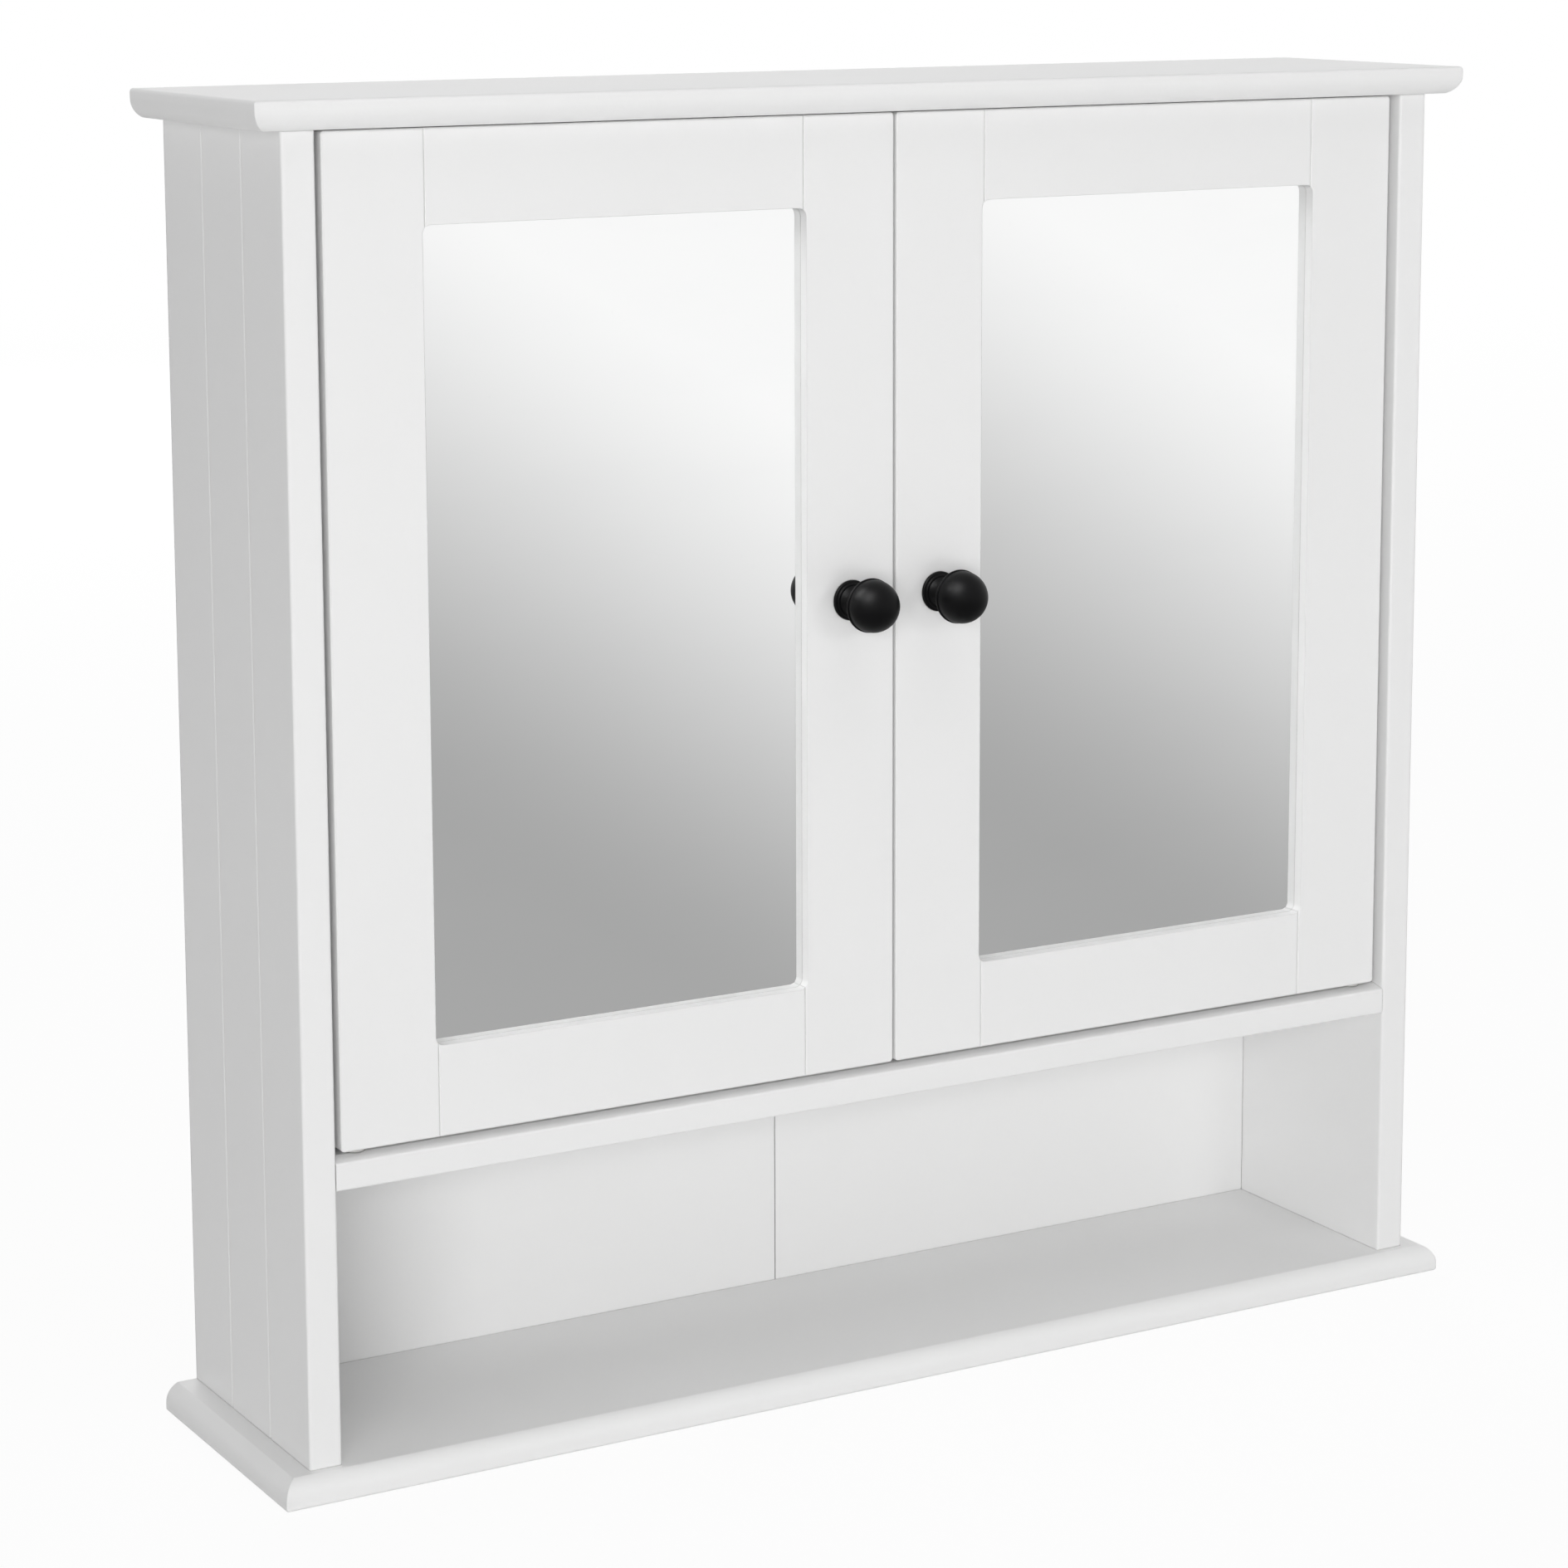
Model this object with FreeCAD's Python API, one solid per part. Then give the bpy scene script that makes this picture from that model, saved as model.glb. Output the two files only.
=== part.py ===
import FreeCAD, Part
import os
from math import cos, pi, sin, sqrt

from FreeCAD import Matrix, Vector

# A wall-hung bathroom cabinet: two mirror doors on pin hinges over an open shelf.
# Millimetres. +X runs to the right, -Y to the front and +Z up, and the wall is the plane Y = 0.
# Heights are counted from the underside of the base; the finished pieces are then lowered so that
# the middle of the two wall screws is the origin.

# Carcass boards
cabinet_width = 580.0  # over the crown and the base
cabinet_depth = 130.0
cabinet_height = 560.0
crown_thickness = 12.0
base_thickness = 12.0
side_thickness = 14.0
side_overhang = 14.0  # crown and base beyond each side panel
front_overhang = 8.5  # crown and base beyond the front edges of the side panels
fixed_shelf_thickness = 13.0
shelf_slope_depth = 6.5  # front of the fixed shelf's top, which slopes down to its edge
shelf_slope_drop = 1.6
open_shelf_height = 114.0  # clear height between the base and the fixed shelf
edge_round = 1.0  # eased front edges of the boards

# Moulding on the front and the ends of the crown and the base
moulding_inset = 5.5
moulding_rise = 8.0
moulding_lip_round = 1.5
moulding_shoulder_round = 1.2

# Board lines cut into the outside of each side panel
side_line_count = 2
side_line_width = 1.2
side_line_depth = 0.5

# Back in two halves, held in grooves
back_thickness = 3.0
back_recess = 11.6  # space between the back and the wall
back_groove_depth = 5.0
back_play = 0.1
back_seam = 0.4

# Hanging rail behind the back, with the holes for the wall screws
rail_height = 60.0
rail_dowel_spacing = 30.0
wall_hole_radius = 3.0
wall_hole_spacing = 400.0

# Loose shelf, its pins and the rows of holes for them
loose_shelf_thickness = 12.0
loose_shelf_setback = 10.8  # front edge behind the doors
loose_shelf_play = 1.0
shelf_pin_radius = 2.5
shelf_pin_seat = 8.5  # length of a pin in the side panel
shelf_pin_reach = 7.0  # length of a pin under the shelf
shelf_pin_setback = 18.0  # from the front and back edges of the shelf
pin_row_count = 3
pin_row_spacing = 60.0

# Dowels, cam fittings and screws: small and hidden, so few-sided, and a radius is to the flats
peg_sides = 8
hole_play = 0.05  # around a pin or screw in its hole
end_play = 0.5  # beyond the end of a pin or screw
fitting_setback = 28.0  # dowels and base screws from the front and the back of a joint
dowel_radius = 3.0
dowel_face_end = 8.0  # length of a dowel in the face of a board
dowel_edge_end = 20.0  # length of a dowel in the edge of a board
cam_radius = 6.5
cam_floor = 2.5  # wood left behind a cam
cam_reach = 22.0  # middle of a cam from the joint
cam_bolt_radius = 2.0
cam_bolt_head_radius = 2.8
cam_bolt_seat = 8.5  # length of a cam bolt in the face of a board
base_screw_radius = 2.0
base_screw_head_radius = 4.0
base_screw_head_height = 2.5
base_screw_length = 42.0  # below the head
small_screw_radius = 1.5
small_screw_head_radius = 3.0
small_screw_head_height = 1.8
small_screw_seat = 8.0  # length of a small screw in the wood

# Doors
door_thickness = 15.0
door_recess = 2.6  # door fronts behind the front edges of the side panels
door_side_gap = 3.7
door_meeting_gap = 1.3
door_bottom_gap = 1.8
door_top_gap = 0.7
door_edge_ease = 0.6
door_corner = 1.6  # rounded outer corners of a door's front
stile_width = 43.4  # outer edge of the door to the joint with the rails
rail_width = 38.0
lip_thickness = 5.0  # wood in front of the mirror
rebate_width = 6.0
window_overcut = 1.2  # window cut past the joint, into the stile
window_corner = 3.5
joint_line_width = 1.0
joint_line_depth = 0.5
tenon_length = 14.0
tenon_thickness = 6.0
tenon_shoulder = 6.0
tenon_play = 0.1

# Mirror, its backing board and the flat points driven in behind them
mirror_thickness = 3.0
backing_thickness = 3.0
mirror_play = 1.0  # to each edge of the rebate
point_thickness = 0.8
point_width = 9.0
point_seat = 7.0  # length of a point in the frame
point_reach = 9.0  # length of a point over the rebate and the backing
point_play = 0.05

# Pin hinges
pivot_inset = 8.4  # axis from the outer edge of the door
pivot_radius = 2.0
pivot_play = 0.05
pivot_seat = 18.0  # length of a pin in the door
bush_radius = 3.3
bush_floor = 2.5  # wood left beyond a bush
bush_flange_radius = 4.75  # the flange carries the door

# Knobs
knob_flange_radius = 8.6
knob_flange_height = 2.4
knob_flange_ease = 0.8
knob_root_radius = 6.4  # neck where it leaves the flange
knob_neck_radius = 4.8
knob_neck_height = 7.5  # narrowest place of the neck
knob_head_radius = 11.5
knob_head_height = 15.0  # underside of the head
knob_rim_ease = 1.2
knob_rim_height = 1.8
knob_rim_step = 0.5  # rim proud of the dome
knob_projection = 29.5
knob_sides = 32
knob_curve_steps = 5  # straight steps along each of its curves
knob_screw_radius = 2.0
knob_screw_head_radius = 4.0
knob_screw_head_height = 2.2
knob_screw_seat = 12.0  # length of the screw in the knob

# Double magnetic catch under the crown
catch_height = 11.0
catch_depth = 14.0
catch_half_width = 23.0
catch_ear_length = 10.0
catch_ear_thickness = 3.0
catch_ear_corner = 3.0
magnet_width = 15.0
magnet_depth = 9.0
magnet_thickness = 4.0
magnet_offset = 11.5  # middle of each magnet from the middle of the cabinet
magnet_play = 0.1
pole_thickness = 1.0
pole_proud = 1.0  # pole plates in front of the catch
pole_gap = 0.1  # pole plates to the strike plates
strike_thickness = 1.0
strike_width = 16.0
strike_height = 30.0
strike_corner = 2.0
strike_drop = 1.5  # top of a strike plate below the top of its door

# Planes that the pieces share
x_side_outer = cabinet_width / 2 - side_overhang
x_side_inner = x_side_outer - side_thickness
x_side_middle = x_side_outer - side_thickness / 2
side_depth = cabinet_depth - front_overhang
back_front = back_recess + back_thickness
z_crown = cabinet_height - crown_thickness
z_shelf_bottom = base_thickness + open_shelf_height
z_shelf_top = z_shelf_bottom + fixed_shelf_thickness
z_shelf_middle = z_shelf_bottom + fixed_shelf_thickness / 2
z_wall_screws = z_crown - rail_height / 2

x_door_meeting = door_meeting_gap / 2
x_door_outer = x_side_inner - door_side_gap
x_joint_meeting = x_door_meeting + stile_width
x_joint_outer = x_door_outer - stile_width
z_door_bottom = z_shelf_top + door_bottom_gap
z_door_top = z_crown - door_top_gap
z_door_middle = (z_door_bottom + z_door_top) / 2
y_door_front = door_recess - side_depth
y_door_back = y_door_front + door_thickness
y_mirror = y_door_front + lip_thickness
y_backing = y_mirror + mirror_thickness
y_backing_back = y_backing + backing_thickness
x_window_low = x_joint_meeting - window_overcut
x_window_high = x_joint_outer + window_overcut
z_window_low = z_door_bottom + rail_width
z_window_high = z_door_top - rail_width
x_knob = (x_door_meeting + x_window_low) / 2

x_pivot = x_door_outer - pivot_inset
y_pivot = y_door_front + door_thickness / 2

z_pins = (z_shelf_top + z_crown) / 2
z_loose_shelf = z_pins + shelf_pin_radius
y_loose_back = -back_front - end_play
y_loose_front = y_door_back + loose_shelf_setback

y_joint_back = -back_front - fitting_setback
y_joint_front = -side_depth + fitting_setback
y_joint_middle = (y_joint_back + y_joint_front) / 2

y_strike_back = y_door_back + strike_thickness
y_pole_front = y_strike_back + pole_gap
y_catch_front = y_pole_front + pole_proud
y_catch_back = y_catch_front + catch_depth
z_magnet = z_crown - catch_height / 2

right = Vector(1, 0, 0)
left = Vector(-1, 0, 0)
forward = Vector(0, -1, 0)
backward = Vector(0, 1, 0)
up = Vector(0, 0, 1)
down = Vector(0, 0, -1)


def box(x0, x1, y0, y1, z0, z1):
    return Part.makeBox(x1 - x0, y1 - y0, z1 - z0, Vector(x0, y0, z0))


def rod(radius, start, end):
    way = end - start
    return Part.makeCylinder(radius, way.Length, start, way)


def face_in(points):
    # Flat face inside a closed run of straight edges.
    return Part.Face(Part.makePolygon(points + points[:1]))


def peg(radius, start, end):
    # Few-sided rod with a flat to each of the axes.
    way = end - start
    facing = up if way.x else right
    across = (way.cross(facing)).normalize()
    corner = radius / cos(pi / peg_sides)
    turns = [2 * pi * (number + 0.5) / peg_sides for number in range(peg_sides)]
    points = [start + facing * (corner * cos(turn)) + across * (corner * sin(turn)) for turn in turns]
    return face_in(points).extrude(way)


def placed(piece, origin, along, facing):
    # Sets a piece that was made about Z, so that its Z runs along one way and its X faces another.
    across = along.cross(facing)
    turn = Matrix(
        facing.x, across.x, along.x, origin.x,
        facing.y, across.y, along.y, origin.y,
        facing.z, across.z, along.z, origin.z,
        0, 0, 0, 1,
    )
    return piece.transformed(turn, copy=True)


def mirrored(piece):
    return piece.mirror(Vector(), right)


def both_sides(pieces):
    return pieces + [mirrored(piece) for piece in pieces]


def group(pieces):
    return Part.makeCompound(pieces)


def edges_on(piece, **planes):
    # Edges whose ends lie on every plane given, such as x=4.0 with z=2.0.
    def lies(edge):
        ends = [vertex.Point for vertex in edge.Vertexes]
        return all(abs(getattr(end, axis) - at) < 1e-6 for end in ends for axis, at in planes.items())

    return [edge for edge in piece.Edges if lies(edge)]


def corner_edges(piece, xs, **span):
    # Straight edges at every crossing of the x planes with the y or z planes given.
    (axis, planes), = span.items()
    return [edge for x in xs for plane in planes for edge in edges_on(piece, x=x, **{axis: plane})]


def arc_about(middle, start, end):
    # Arc from start to end the short way round its middle.
    way = (start - middle) + (end - middle)
    crest = middle + way.normalize() * (start - middle).Length
    return Part.Arc(start, crest, end).toShape()


def line(start, end):
    return Part.LineSegment(start, end).toShape()


def moulding(reach, thickness, spot):
    # The moulded edge of a board, from its narrow face to its wide face: a rounded shoulder, a full
    # curve out to the lip, and the rounded lip. spot(out, rise) gives the place of each point.
    curve = (moulding_rise ** 2 + moulding_inset ** 2) / (2 * moulding_inset)
    out = reach - curve
    inner = curve - moulding_shoulder_round
    shoulder = sqrt(inner ** 2 - (moulding_rise - moulding_shoulder_round) ** 2)
    blend = curve / inner
    lip = thickness - moulding_lip_round

    curve_middle = spot(out, moulding_rise)
    shoulder_middle = spot(out + shoulder, moulding_shoulder_round)
    lip_middle = spot(reach - moulding_lip_round, lip)
    narrow = spot(out + shoulder, 0)
    bend = spot(out + shoulder * blend, moulding_rise + (moulding_shoulder_round - moulding_rise) * blend)
    widest = spot(reach, moulding_rise)
    lip_low = spot(reach, lip)
    wide = spot(reach - moulding_lip_round, thickness)
    edges = [
        arc_about(shoulder_middle, narrow, bend),
        arc_about(curve_middle, bend, widest),
        line(widest, lip_low),
        arc_about(lip_middle, lip_low, wide),
    ]
    return narrow, wide, edges


def moulded_board(z_narrow, z_wide):
    # Crown or base: the moulding runs along the front and both ends and is mitred at the corners.
    thickness = abs(z_wide - z_narrow)
    rise = (z_wide - z_narrow) / thickness
    half = cabinet_width / 2

    narrow_r, wide_r, edges_r = moulding(half, thickness, lambda out, h: Vector(out, 0, z_narrow + rise * h))
    narrow_l, wide_l, edges_l = moulding(half, thickness, lambda out, h: Vector(-out, 0, z_narrow + rise * h))
    across = edges_r + [line(wide_r, wide_l)] + edges_l + [line(narrow_l, narrow_r)]
    ends = Part.Face(Part.Wire(Part.__sortEdges__(across))).extrude(forward * cabinet_depth)

    narrow_f, wide_f, edges_f = moulding(
        cabinet_depth, thickness, lambda out, h: Vector(-half, -out, z_narrow + rise * h)
    )
    narrow_b = Vector(-half, 0, z_narrow)
    wide_b = Vector(-half, 0, z_wide)
    along = edges_f + [line(wide_f, wide_b), line(wide_b, narrow_b), line(narrow_b, narrow_f)]
    front = Part.Face(Part.Wire(Part.__sortEdges__(along))).extrude(right * cabinet_width)
    return ends.common(front)


def back_groove(z0, z1):
    # Room for the back in the boards around it.
    reach = x_side_inner + back_groove_depth
    return box(-reach, reach, -back_front - back_play, -back_recess + back_play, z0, z1)


# Where the right-hand joints are, the way from a board's edge into the face it meets, and the side
# that a cam is turned from.
crown_cam_place = (Vector(x_side_middle, y_joint_middle, z_crown), up, left)
shelf_cam_place = (Vector(x_side_inner, y_joint_middle, z_shelf_middle), right, down)


def dowel_places():
    rail_y = (back_play - back_recess) / 2
    rail_heights = [z_wall_screws + side * rail_dowel_spacing / 2 for side in (-1, 1)]
    places = [(Vector(x_side_inner, rail_y, z), right) for z in rail_heights]
    for y in (y_joint_back, y_joint_front):
        places.append((Vector(x_side_middle, y, z_crown), up))
        places.append((Vector(x_side_inner, y, z_shelf_middle), right))
    return places


def dowel_holes():
    radius = dowel_radius + hole_play
    return both_sides([
        peg(radius, spot - way * (dowel_edge_end + end_play), spot + way * (dowel_face_end + end_play))
        for spot, way in dowel_places()
    ])


def cam_bolt():
    # Bolt in the face of one board, with its head in the cam of the other.
    head = cam_bolt_head_radius
    shank = peg(cam_bolt_radius, up * -cam_reach, up * cam_bolt_seat)
    return shank.fuse(peg(head, up * (-cam_reach - head), up * (head - cam_reach))).removeSplitter()


def cam_bolt_bore():
    # The bolt's passage through the edge of a board into the cam, wide enough for its head.
    bore = cam_bolt_head_radius + end_play
    return peg(bore, up * (-cam_reach - bore), Vector())


def cam_disc(board, play):
    # Disc flush with the face of the board, or its pocket with a play all round.
    face = board / 2
    floor = cam_floor - face - play
    return peg(cam_radius + play, Vector(floor, 0, -cam_reach), Vector(face, 0, -cam_reach))


def cam_holes(place, board):
    bores = [cam_disc(board, hole_play), cam_bolt_bore()]
    return both_sides([placed(bore, *place) for bore in bores])


def cam_bolt_seats(place):
    bore = peg(cam_bolt_radius + hole_play, Vector(), up * (cam_bolt_seat + end_play))
    return both_sides([placed(bore, *place)])


def screw(radius, head_radius, head_height, length):
    # The head's bearing face is at zero and the shank points along Z.
    head = peg(head_radius, up * -head_height, Vector())
    return head.fuse(peg(radius, up * -head_height, up * length)).removeSplitter()


def small_screw(stack):
    # Small screw that holds a fitting of the given thickness to the wood.
    return screw(small_screw_radius, small_screw_head_radius, small_screw_head_height, stack + small_screw_seat)


def small_screw_hole(stack):
    return peg(small_screw_radius + hole_play, Vector(), up * (stack + small_screw_seat + end_play))


def base_screw(play, spare):
    # Screw sunk flush into the base, or its hole.
    return screw(
        base_screw_radius + play, base_screw_head_radius + play, base_screw_head_height, base_screw_length + spare
    )


def base_screws_on(piece):
    spots = [Vector(x_side_middle, y, base_screw_head_height) for y in (y_joint_back, y_joint_front)]
    return both_sides([piece.translated(spot) for spot in spots])


def base_screw_holes():
    return base_screws_on(base_screw(hole_play, end_play))


def bush_seat(z_face, way, board):
    start = Vector(x_pivot, y_pivot, z_face)
    return both_sides([rod(bush_radius + hole_play, start, start + way * (board - bush_floor + end_play))])


def bush(z_face, way, board):
    # Sleeve in the face of a board, for a hinge pin to turn in.
    start = Vector(x_pivot, y_pivot, z_face)
    end = start + way * (board - bush_floor)
    return rod(bush_radius, start, end).cut(rod(pivot_radius + pivot_play, start, end))


def bush_flange():
    # Ring on the shelf that the door stands and turns on.
    start = Vector(x_pivot, y_pivot, z_shelf_top)
    end = start + up * door_bottom_gap
    return rod(bush_flange_radius, start, end).cut(rod(pivot_radius + pivot_play, start, end))


def hinge_pin(z_end, way, gap, board):
    # Pin from the end of a door, across the gap, into its bush.
    axis = Vector(x_pivot, y_pivot, z_end)
    return rod(pivot_radius, axis - way * pivot_seat, axis + way * (gap + board - bush_floor - end_play))


def pin_rows():
    first = z_pins - pin_row_spacing * (pin_row_count - 1) / 2
    return [first + pin_row_spacing * row for row in range(pin_row_count)]


def pin_spots(heights):
    depths = (y_loose_back - shelf_pin_setback, y_loose_front + shelf_pin_setback)
    return [Vector(x_side_inner, y, z) for y in depths for z in heights]


def catch_screw_places():
    x = catch_half_width + catch_ear_length / 2
    y = (y_catch_front + y_catch_back) / 2
    return [(Vector(side * x, y, z_crown - catch_ear_thickness), up, right) for side in (-1, 1)]


def catch_screw_holes():
    return [placed(small_screw_hole(catch_ear_thickness), *place) for place in catch_screw_places()]


def wall_holes():
    half = wall_hole_spacing / 2
    return [
        rod(wall_hole_radius, Vector(x, 0, z_wall_screws), Vector(x, -back_front, z_wall_screws))
        for x in (-half, half)
    ]


def crown_board():
    cuts = [back_groove(z_crown, z_crown + back_groove_depth)]
    cuts += cam_bolt_seats(crown_cam_place) + dowel_holes() + catch_screw_holes()
    cuts += bush_seat(z_crown, up, crown_thickness)
    return moulded_board(z_crown, cabinet_height).cut(cuts)


def base_board():
    cuts = [back_groove(base_thickness - back_groove_depth, base_thickness)] + base_screw_holes()
    return moulded_board(base_thickness, 0).cut(cuts)


def side_lines():
    # Upright vee cuts that divide the outside of the panel into equal boards.
    pitch = side_depth / (side_line_count + 1)
    half = side_line_width / 2
    lines = []
    for number in range(side_line_count):
        y = -pitch * (number + 1)
        vee = face_in([
            Vector(x_side_outer, y - half, base_thickness),
            Vector(x_side_outer, y + half, base_thickness),
            Vector(x_side_outer - side_line_depth, y, base_thickness),
        ])
        lines.append(vee.extrude(up * (z_crown - base_thickness)))
    return lines


def side_panel():
    panel = box(x_side_inner, x_side_outer, -side_depth, 0, base_thickness, z_crown)
    panel = panel.makeFillet(edge_round, corner_edges(panel, (x_side_inner, x_side_outer), y=(-side_depth,)))
    pin_hole = peg(shelf_pin_radius + hole_play, Vector(), right * (shelf_pin_seat + end_play))
    cuts = side_lines() + [back_groove(base_thickness, z_crown)]
    cuts += cam_holes(crown_cam_place, side_thickness) + cam_bolt_seats(shelf_cam_place)
    cuts += dowel_holes() + base_screw_holes()
    cuts += [pin_hole.translated(spot) for spot in pin_spots(pin_rows())]
    return panel.cut(cuts)


def fixed_shelf():
    z_slope = z_shelf_top - shelf_slope_drop
    end = face_in([
        Vector(-x_side_inner, -side_depth, z_shelf_bottom),
        Vector(-x_side_inner, -side_depth, z_slope),
        Vector(-x_side_inner, shelf_slope_depth - side_depth, z_shelf_top),
        Vector(-x_side_inner, -back_front, z_shelf_top),
        Vector(-x_side_inner, -back_front, z_shelf_bottom),
    ])
    shelf = end.extrude(right * 2 * x_side_inner)
    fronts = edges_on(shelf, y=-side_depth, z=z_shelf_bottom) + edges_on(shelf, y=-side_depth, z=z_slope)
    cuts = cam_holes(shelf_cam_place, fixed_shelf_thickness) + dowel_holes()
    cuts += bush_seat(z_shelf_top, down, fixed_shelf_thickness)
    return shelf.makeFillet(edge_round, fronts).cut(cuts)


def back_half():
    reach = back_groove_depth - back_play
    panel = box(
        back_seam / 2, x_side_inner + reach, -back_front, -back_recess,
        base_thickness - reach, z_crown + reach,
    )
    return panel.cut(wall_holes())


def hanging_rail():
    bar = box(-x_side_inner, x_side_inner, back_play - back_recess, 0, z_crown - rail_height, z_crown)
    return bar.cut(wall_holes() + dowel_holes())


def loose_shelf():
    half = x_side_inner - loose_shelf_play
    top = z_loose_shelf + loose_shelf_thickness
    shelf = box(-half, half, y_loose_front, y_loose_back, z_loose_shelf, top)
    fronts = edges_on(shelf, y=y_loose_front, z=z_loose_shelf) + edges_on(shelf, y=y_loose_front, z=top)
    return shelf.makeFillet(edge_round, fronts)


def shelf_pins():
    pin = peg(shelf_pin_radius, left * shelf_pin_reach, right * shelf_pin_seat)
    return group(both_sides([pin.translated(spot) for spot in pin_spots([z_pins])]))


def wood_dowels():
    return group(both_sides([
        peg(dowel_radius, spot - way * dowel_edge_end, spot + way * dowel_face_end)
        for spot, way in dowel_places()
    ]))


def cam_bolts(place):
    return group(both_sides([placed(cam_bolt(), *place)]))


def cams(place, board):
    # Each cam has the channel that takes the head of its bolt.
    return group(both_sides([placed(cam_disc(board, 0).cut(cam_bolt_bore()), *place)]))


def base_screws():
    return group(base_screws_on(base_screw(0, 0)))


def lower_hinge_bushes():
    sleeve = bush(z_shelf_top, down, fixed_shelf_thickness)
    return group(both_sides([sleeve.fuse(bush_flange()).removeSplitter()]))


def upper_hinge_bushes():
    return group(both_sides([bush(z_crown, up, crown_thickness)]))


def magnet_box(side, play, y_front, low, high):
    # A layer of a magnet and its pole plates, at a height from the middle of the magnet.
    x = side * magnet_offset
    half = magnet_width / 2 + play
    return box(x - half, x + half, y_front, y_catch_front + magnet_depth, z_magnet + low, z_magnet + high)


def catch_housing():
    block = box(-catch_half_width, catch_half_width, y_catch_front, y_catch_back, z_crown - catch_height, z_crown)
    reach = catch_half_width + catch_ear_length
    ears = box(-reach, reach, y_catch_front, y_catch_back, z_crown - catch_ear_thickness, z_crown)
    ears = ears.makeChamfer(catch_ear_corner, corner_edges(ears, (-reach, reach), y=(y_catch_front, y_catch_back)))
    stack = magnet_thickness / 2 + pole_thickness
    slots = [magnet_box(side, magnet_play, y_catch_front, -stack, stack) for side in (-1, 1)]
    return block.fuse(ears).removeSplitter().cut(slots + catch_screw_holes())


def catch_magnets():
    half = magnet_thickness / 2
    return group([magnet_box(side, 0, y_catch_front, -half, half) for side in (-1, 1)])


def catch_pole_plates():
    half = magnet_thickness / 2
    layers = ((half, half + pole_thickness), (-half - pole_thickness, -half))
    return group([magnet_box(side, 0, y_pole_front, *layer) for side in (-1, 1) for layer in layers])


def catch_screws():
    return group([placed(small_screw(catch_ear_thickness), *place) for place in catch_screw_places()])


def window():
    # Opening of a door, with rounded corners, cut through the frame.
    hole = box(x_window_low, x_window_high, y_door_front, y_door_back, z_window_low, z_window_high)
    corners = corner_edges(hole, (x_window_low, x_window_high), z=(z_window_low, z_window_high))
    return hole.makeFillet(window_corner, corners)


def mirror_box(play, y0, y1):
    # Space behind the lip of the window, less a play to each edge.
    margin = rebate_width - play
    return box(
        x_window_low - margin, x_window_high + margin, y0, y1, z_window_low - margin, z_window_high + margin
    )


def joint_lines():
    # Fine vee lines on the door's front along the joints of stiles and rails.
    half = joint_line_width / 2
    lines = []
    for x in (x_joint_meeting, x_joint_outer):
        vee = face_in([
            Vector(x - half, y_door_front, z_door_bottom),
            Vector(x + half, y_door_front, z_door_bottom),
            Vector(x, y_door_front + joint_line_depth, z_door_bottom),
        ])
        lines.append(vee.extrude(up * (z_door_top - z_door_bottom)))
    return lines


def tenons(play):
    # Stub tenons of both rails, or the mortises for them with a play all round.
    y0 = y_mirror - play
    y1 = y_mirror + tenon_thickness + play
    x0 = x_joint_meeting - tenon_length - play
    x1 = x_joint_outer + tenon_length + play
    inner = rebate_width + tenon_shoulder
    low = (z_door_bottom + tenon_shoulder - play, z_window_low - inner + play)
    high = (z_window_high + inner - play, z_door_top - tenon_shoulder + play)
    return [box(x0, x1, y0, y1, *low), box(x0, x1, y0, y1, *high)]


def point_places():
    # Middle of each mirror point on the edge of the rebate, with the way towards the mirror.
    x_low = x_window_low - rebate_width
    x_high = x_window_high + rebate_width
    z_low = z_window_low - rebate_width
    z_high = z_window_high + rebate_width
    x_middle = (x_low + x_high) / 2
    quarter = (z_high - z_low) / 4
    places = [(Vector(x_middle, y_backing_back, z), way) for z, way in ((z_low, up), (z_high, down))]
    for x, way in ((x_low, right), (x_high, left)):
        places += [(Vector(x, y_backing_back, z), way) for z in (z_low + quarter, z_high - quarter)]
    return places


def points_in_frame(play):
    # The flat points on the backing, or the slots that they are driven into.
    half = point_width / 2 + play
    point = box(-point_seat - play, point_reach, -half, half, -play, point_thickness + play)
    return [placed(point, spot, backward, way) for spot, way in point_places()]


def frame_cuts():
    return [window(), mirror_box(0, y_mirror, y_door_back)] + joint_lines() + points_in_frame(point_play)


def pivot_holes():
    ends = ((Vector(x_pivot, y_pivot, z_door_bottom), up), (Vector(x_pivot, y_pivot, z_door_top), down))
    return [rod(pivot_radius + hole_play, end, end + way * (pivot_seat + end_play)) for end, way in ends]


def stile(x0, x1, x_edge):
    # Upright of a door; x_edge is its outer edge, with rounded corners and eased like the door's other edges.
    bar = box(x0, x1, y_door_front, y_door_back, z_door_bottom, z_door_top)
    bar = bar.makeFillet(door_corner, corner_edges(bar, (x_edge,), z=(z_door_bottom, z_door_top)))
    eased = [edge for y in (y_door_front, y_door_back) for edge in edges_on(bar, x=x_edge, y=y)]
    return bar.makeChamfer(door_edge_ease, eased).cut(frame_cuts() + tenons(tenon_play))


def hinge_stile():
    return stile(x_joint_outer, x_door_outer, x_door_outer).cut(pivot_holes())


def meeting_stile():
    cuts = [knob_screw_hole(), placed(small_screw_hole(strike_thickness), *strike_screw_place())]
    return stile(x_door_meeting, x_joint_meeting, x_door_meeting).cut(cuts)


def door_rail(z0, z1, z_edge, tenon):
    bar = box(x_joint_meeting, x_joint_outer, y_door_front, y_door_back, z0, z1)
    eased = [edge for y in (y_door_front, y_door_back) for edge in edges_on(bar, y=y, z=z_edge)]
    return bar.makeChamfer(door_edge_ease, eased).fuse(tenon).removeSplitter().cut(frame_cuts())


def bottom_rail():
    return door_rail(z_door_bottom, z_window_low + window_corner, z_door_bottom, tenons(0)[0])


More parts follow.
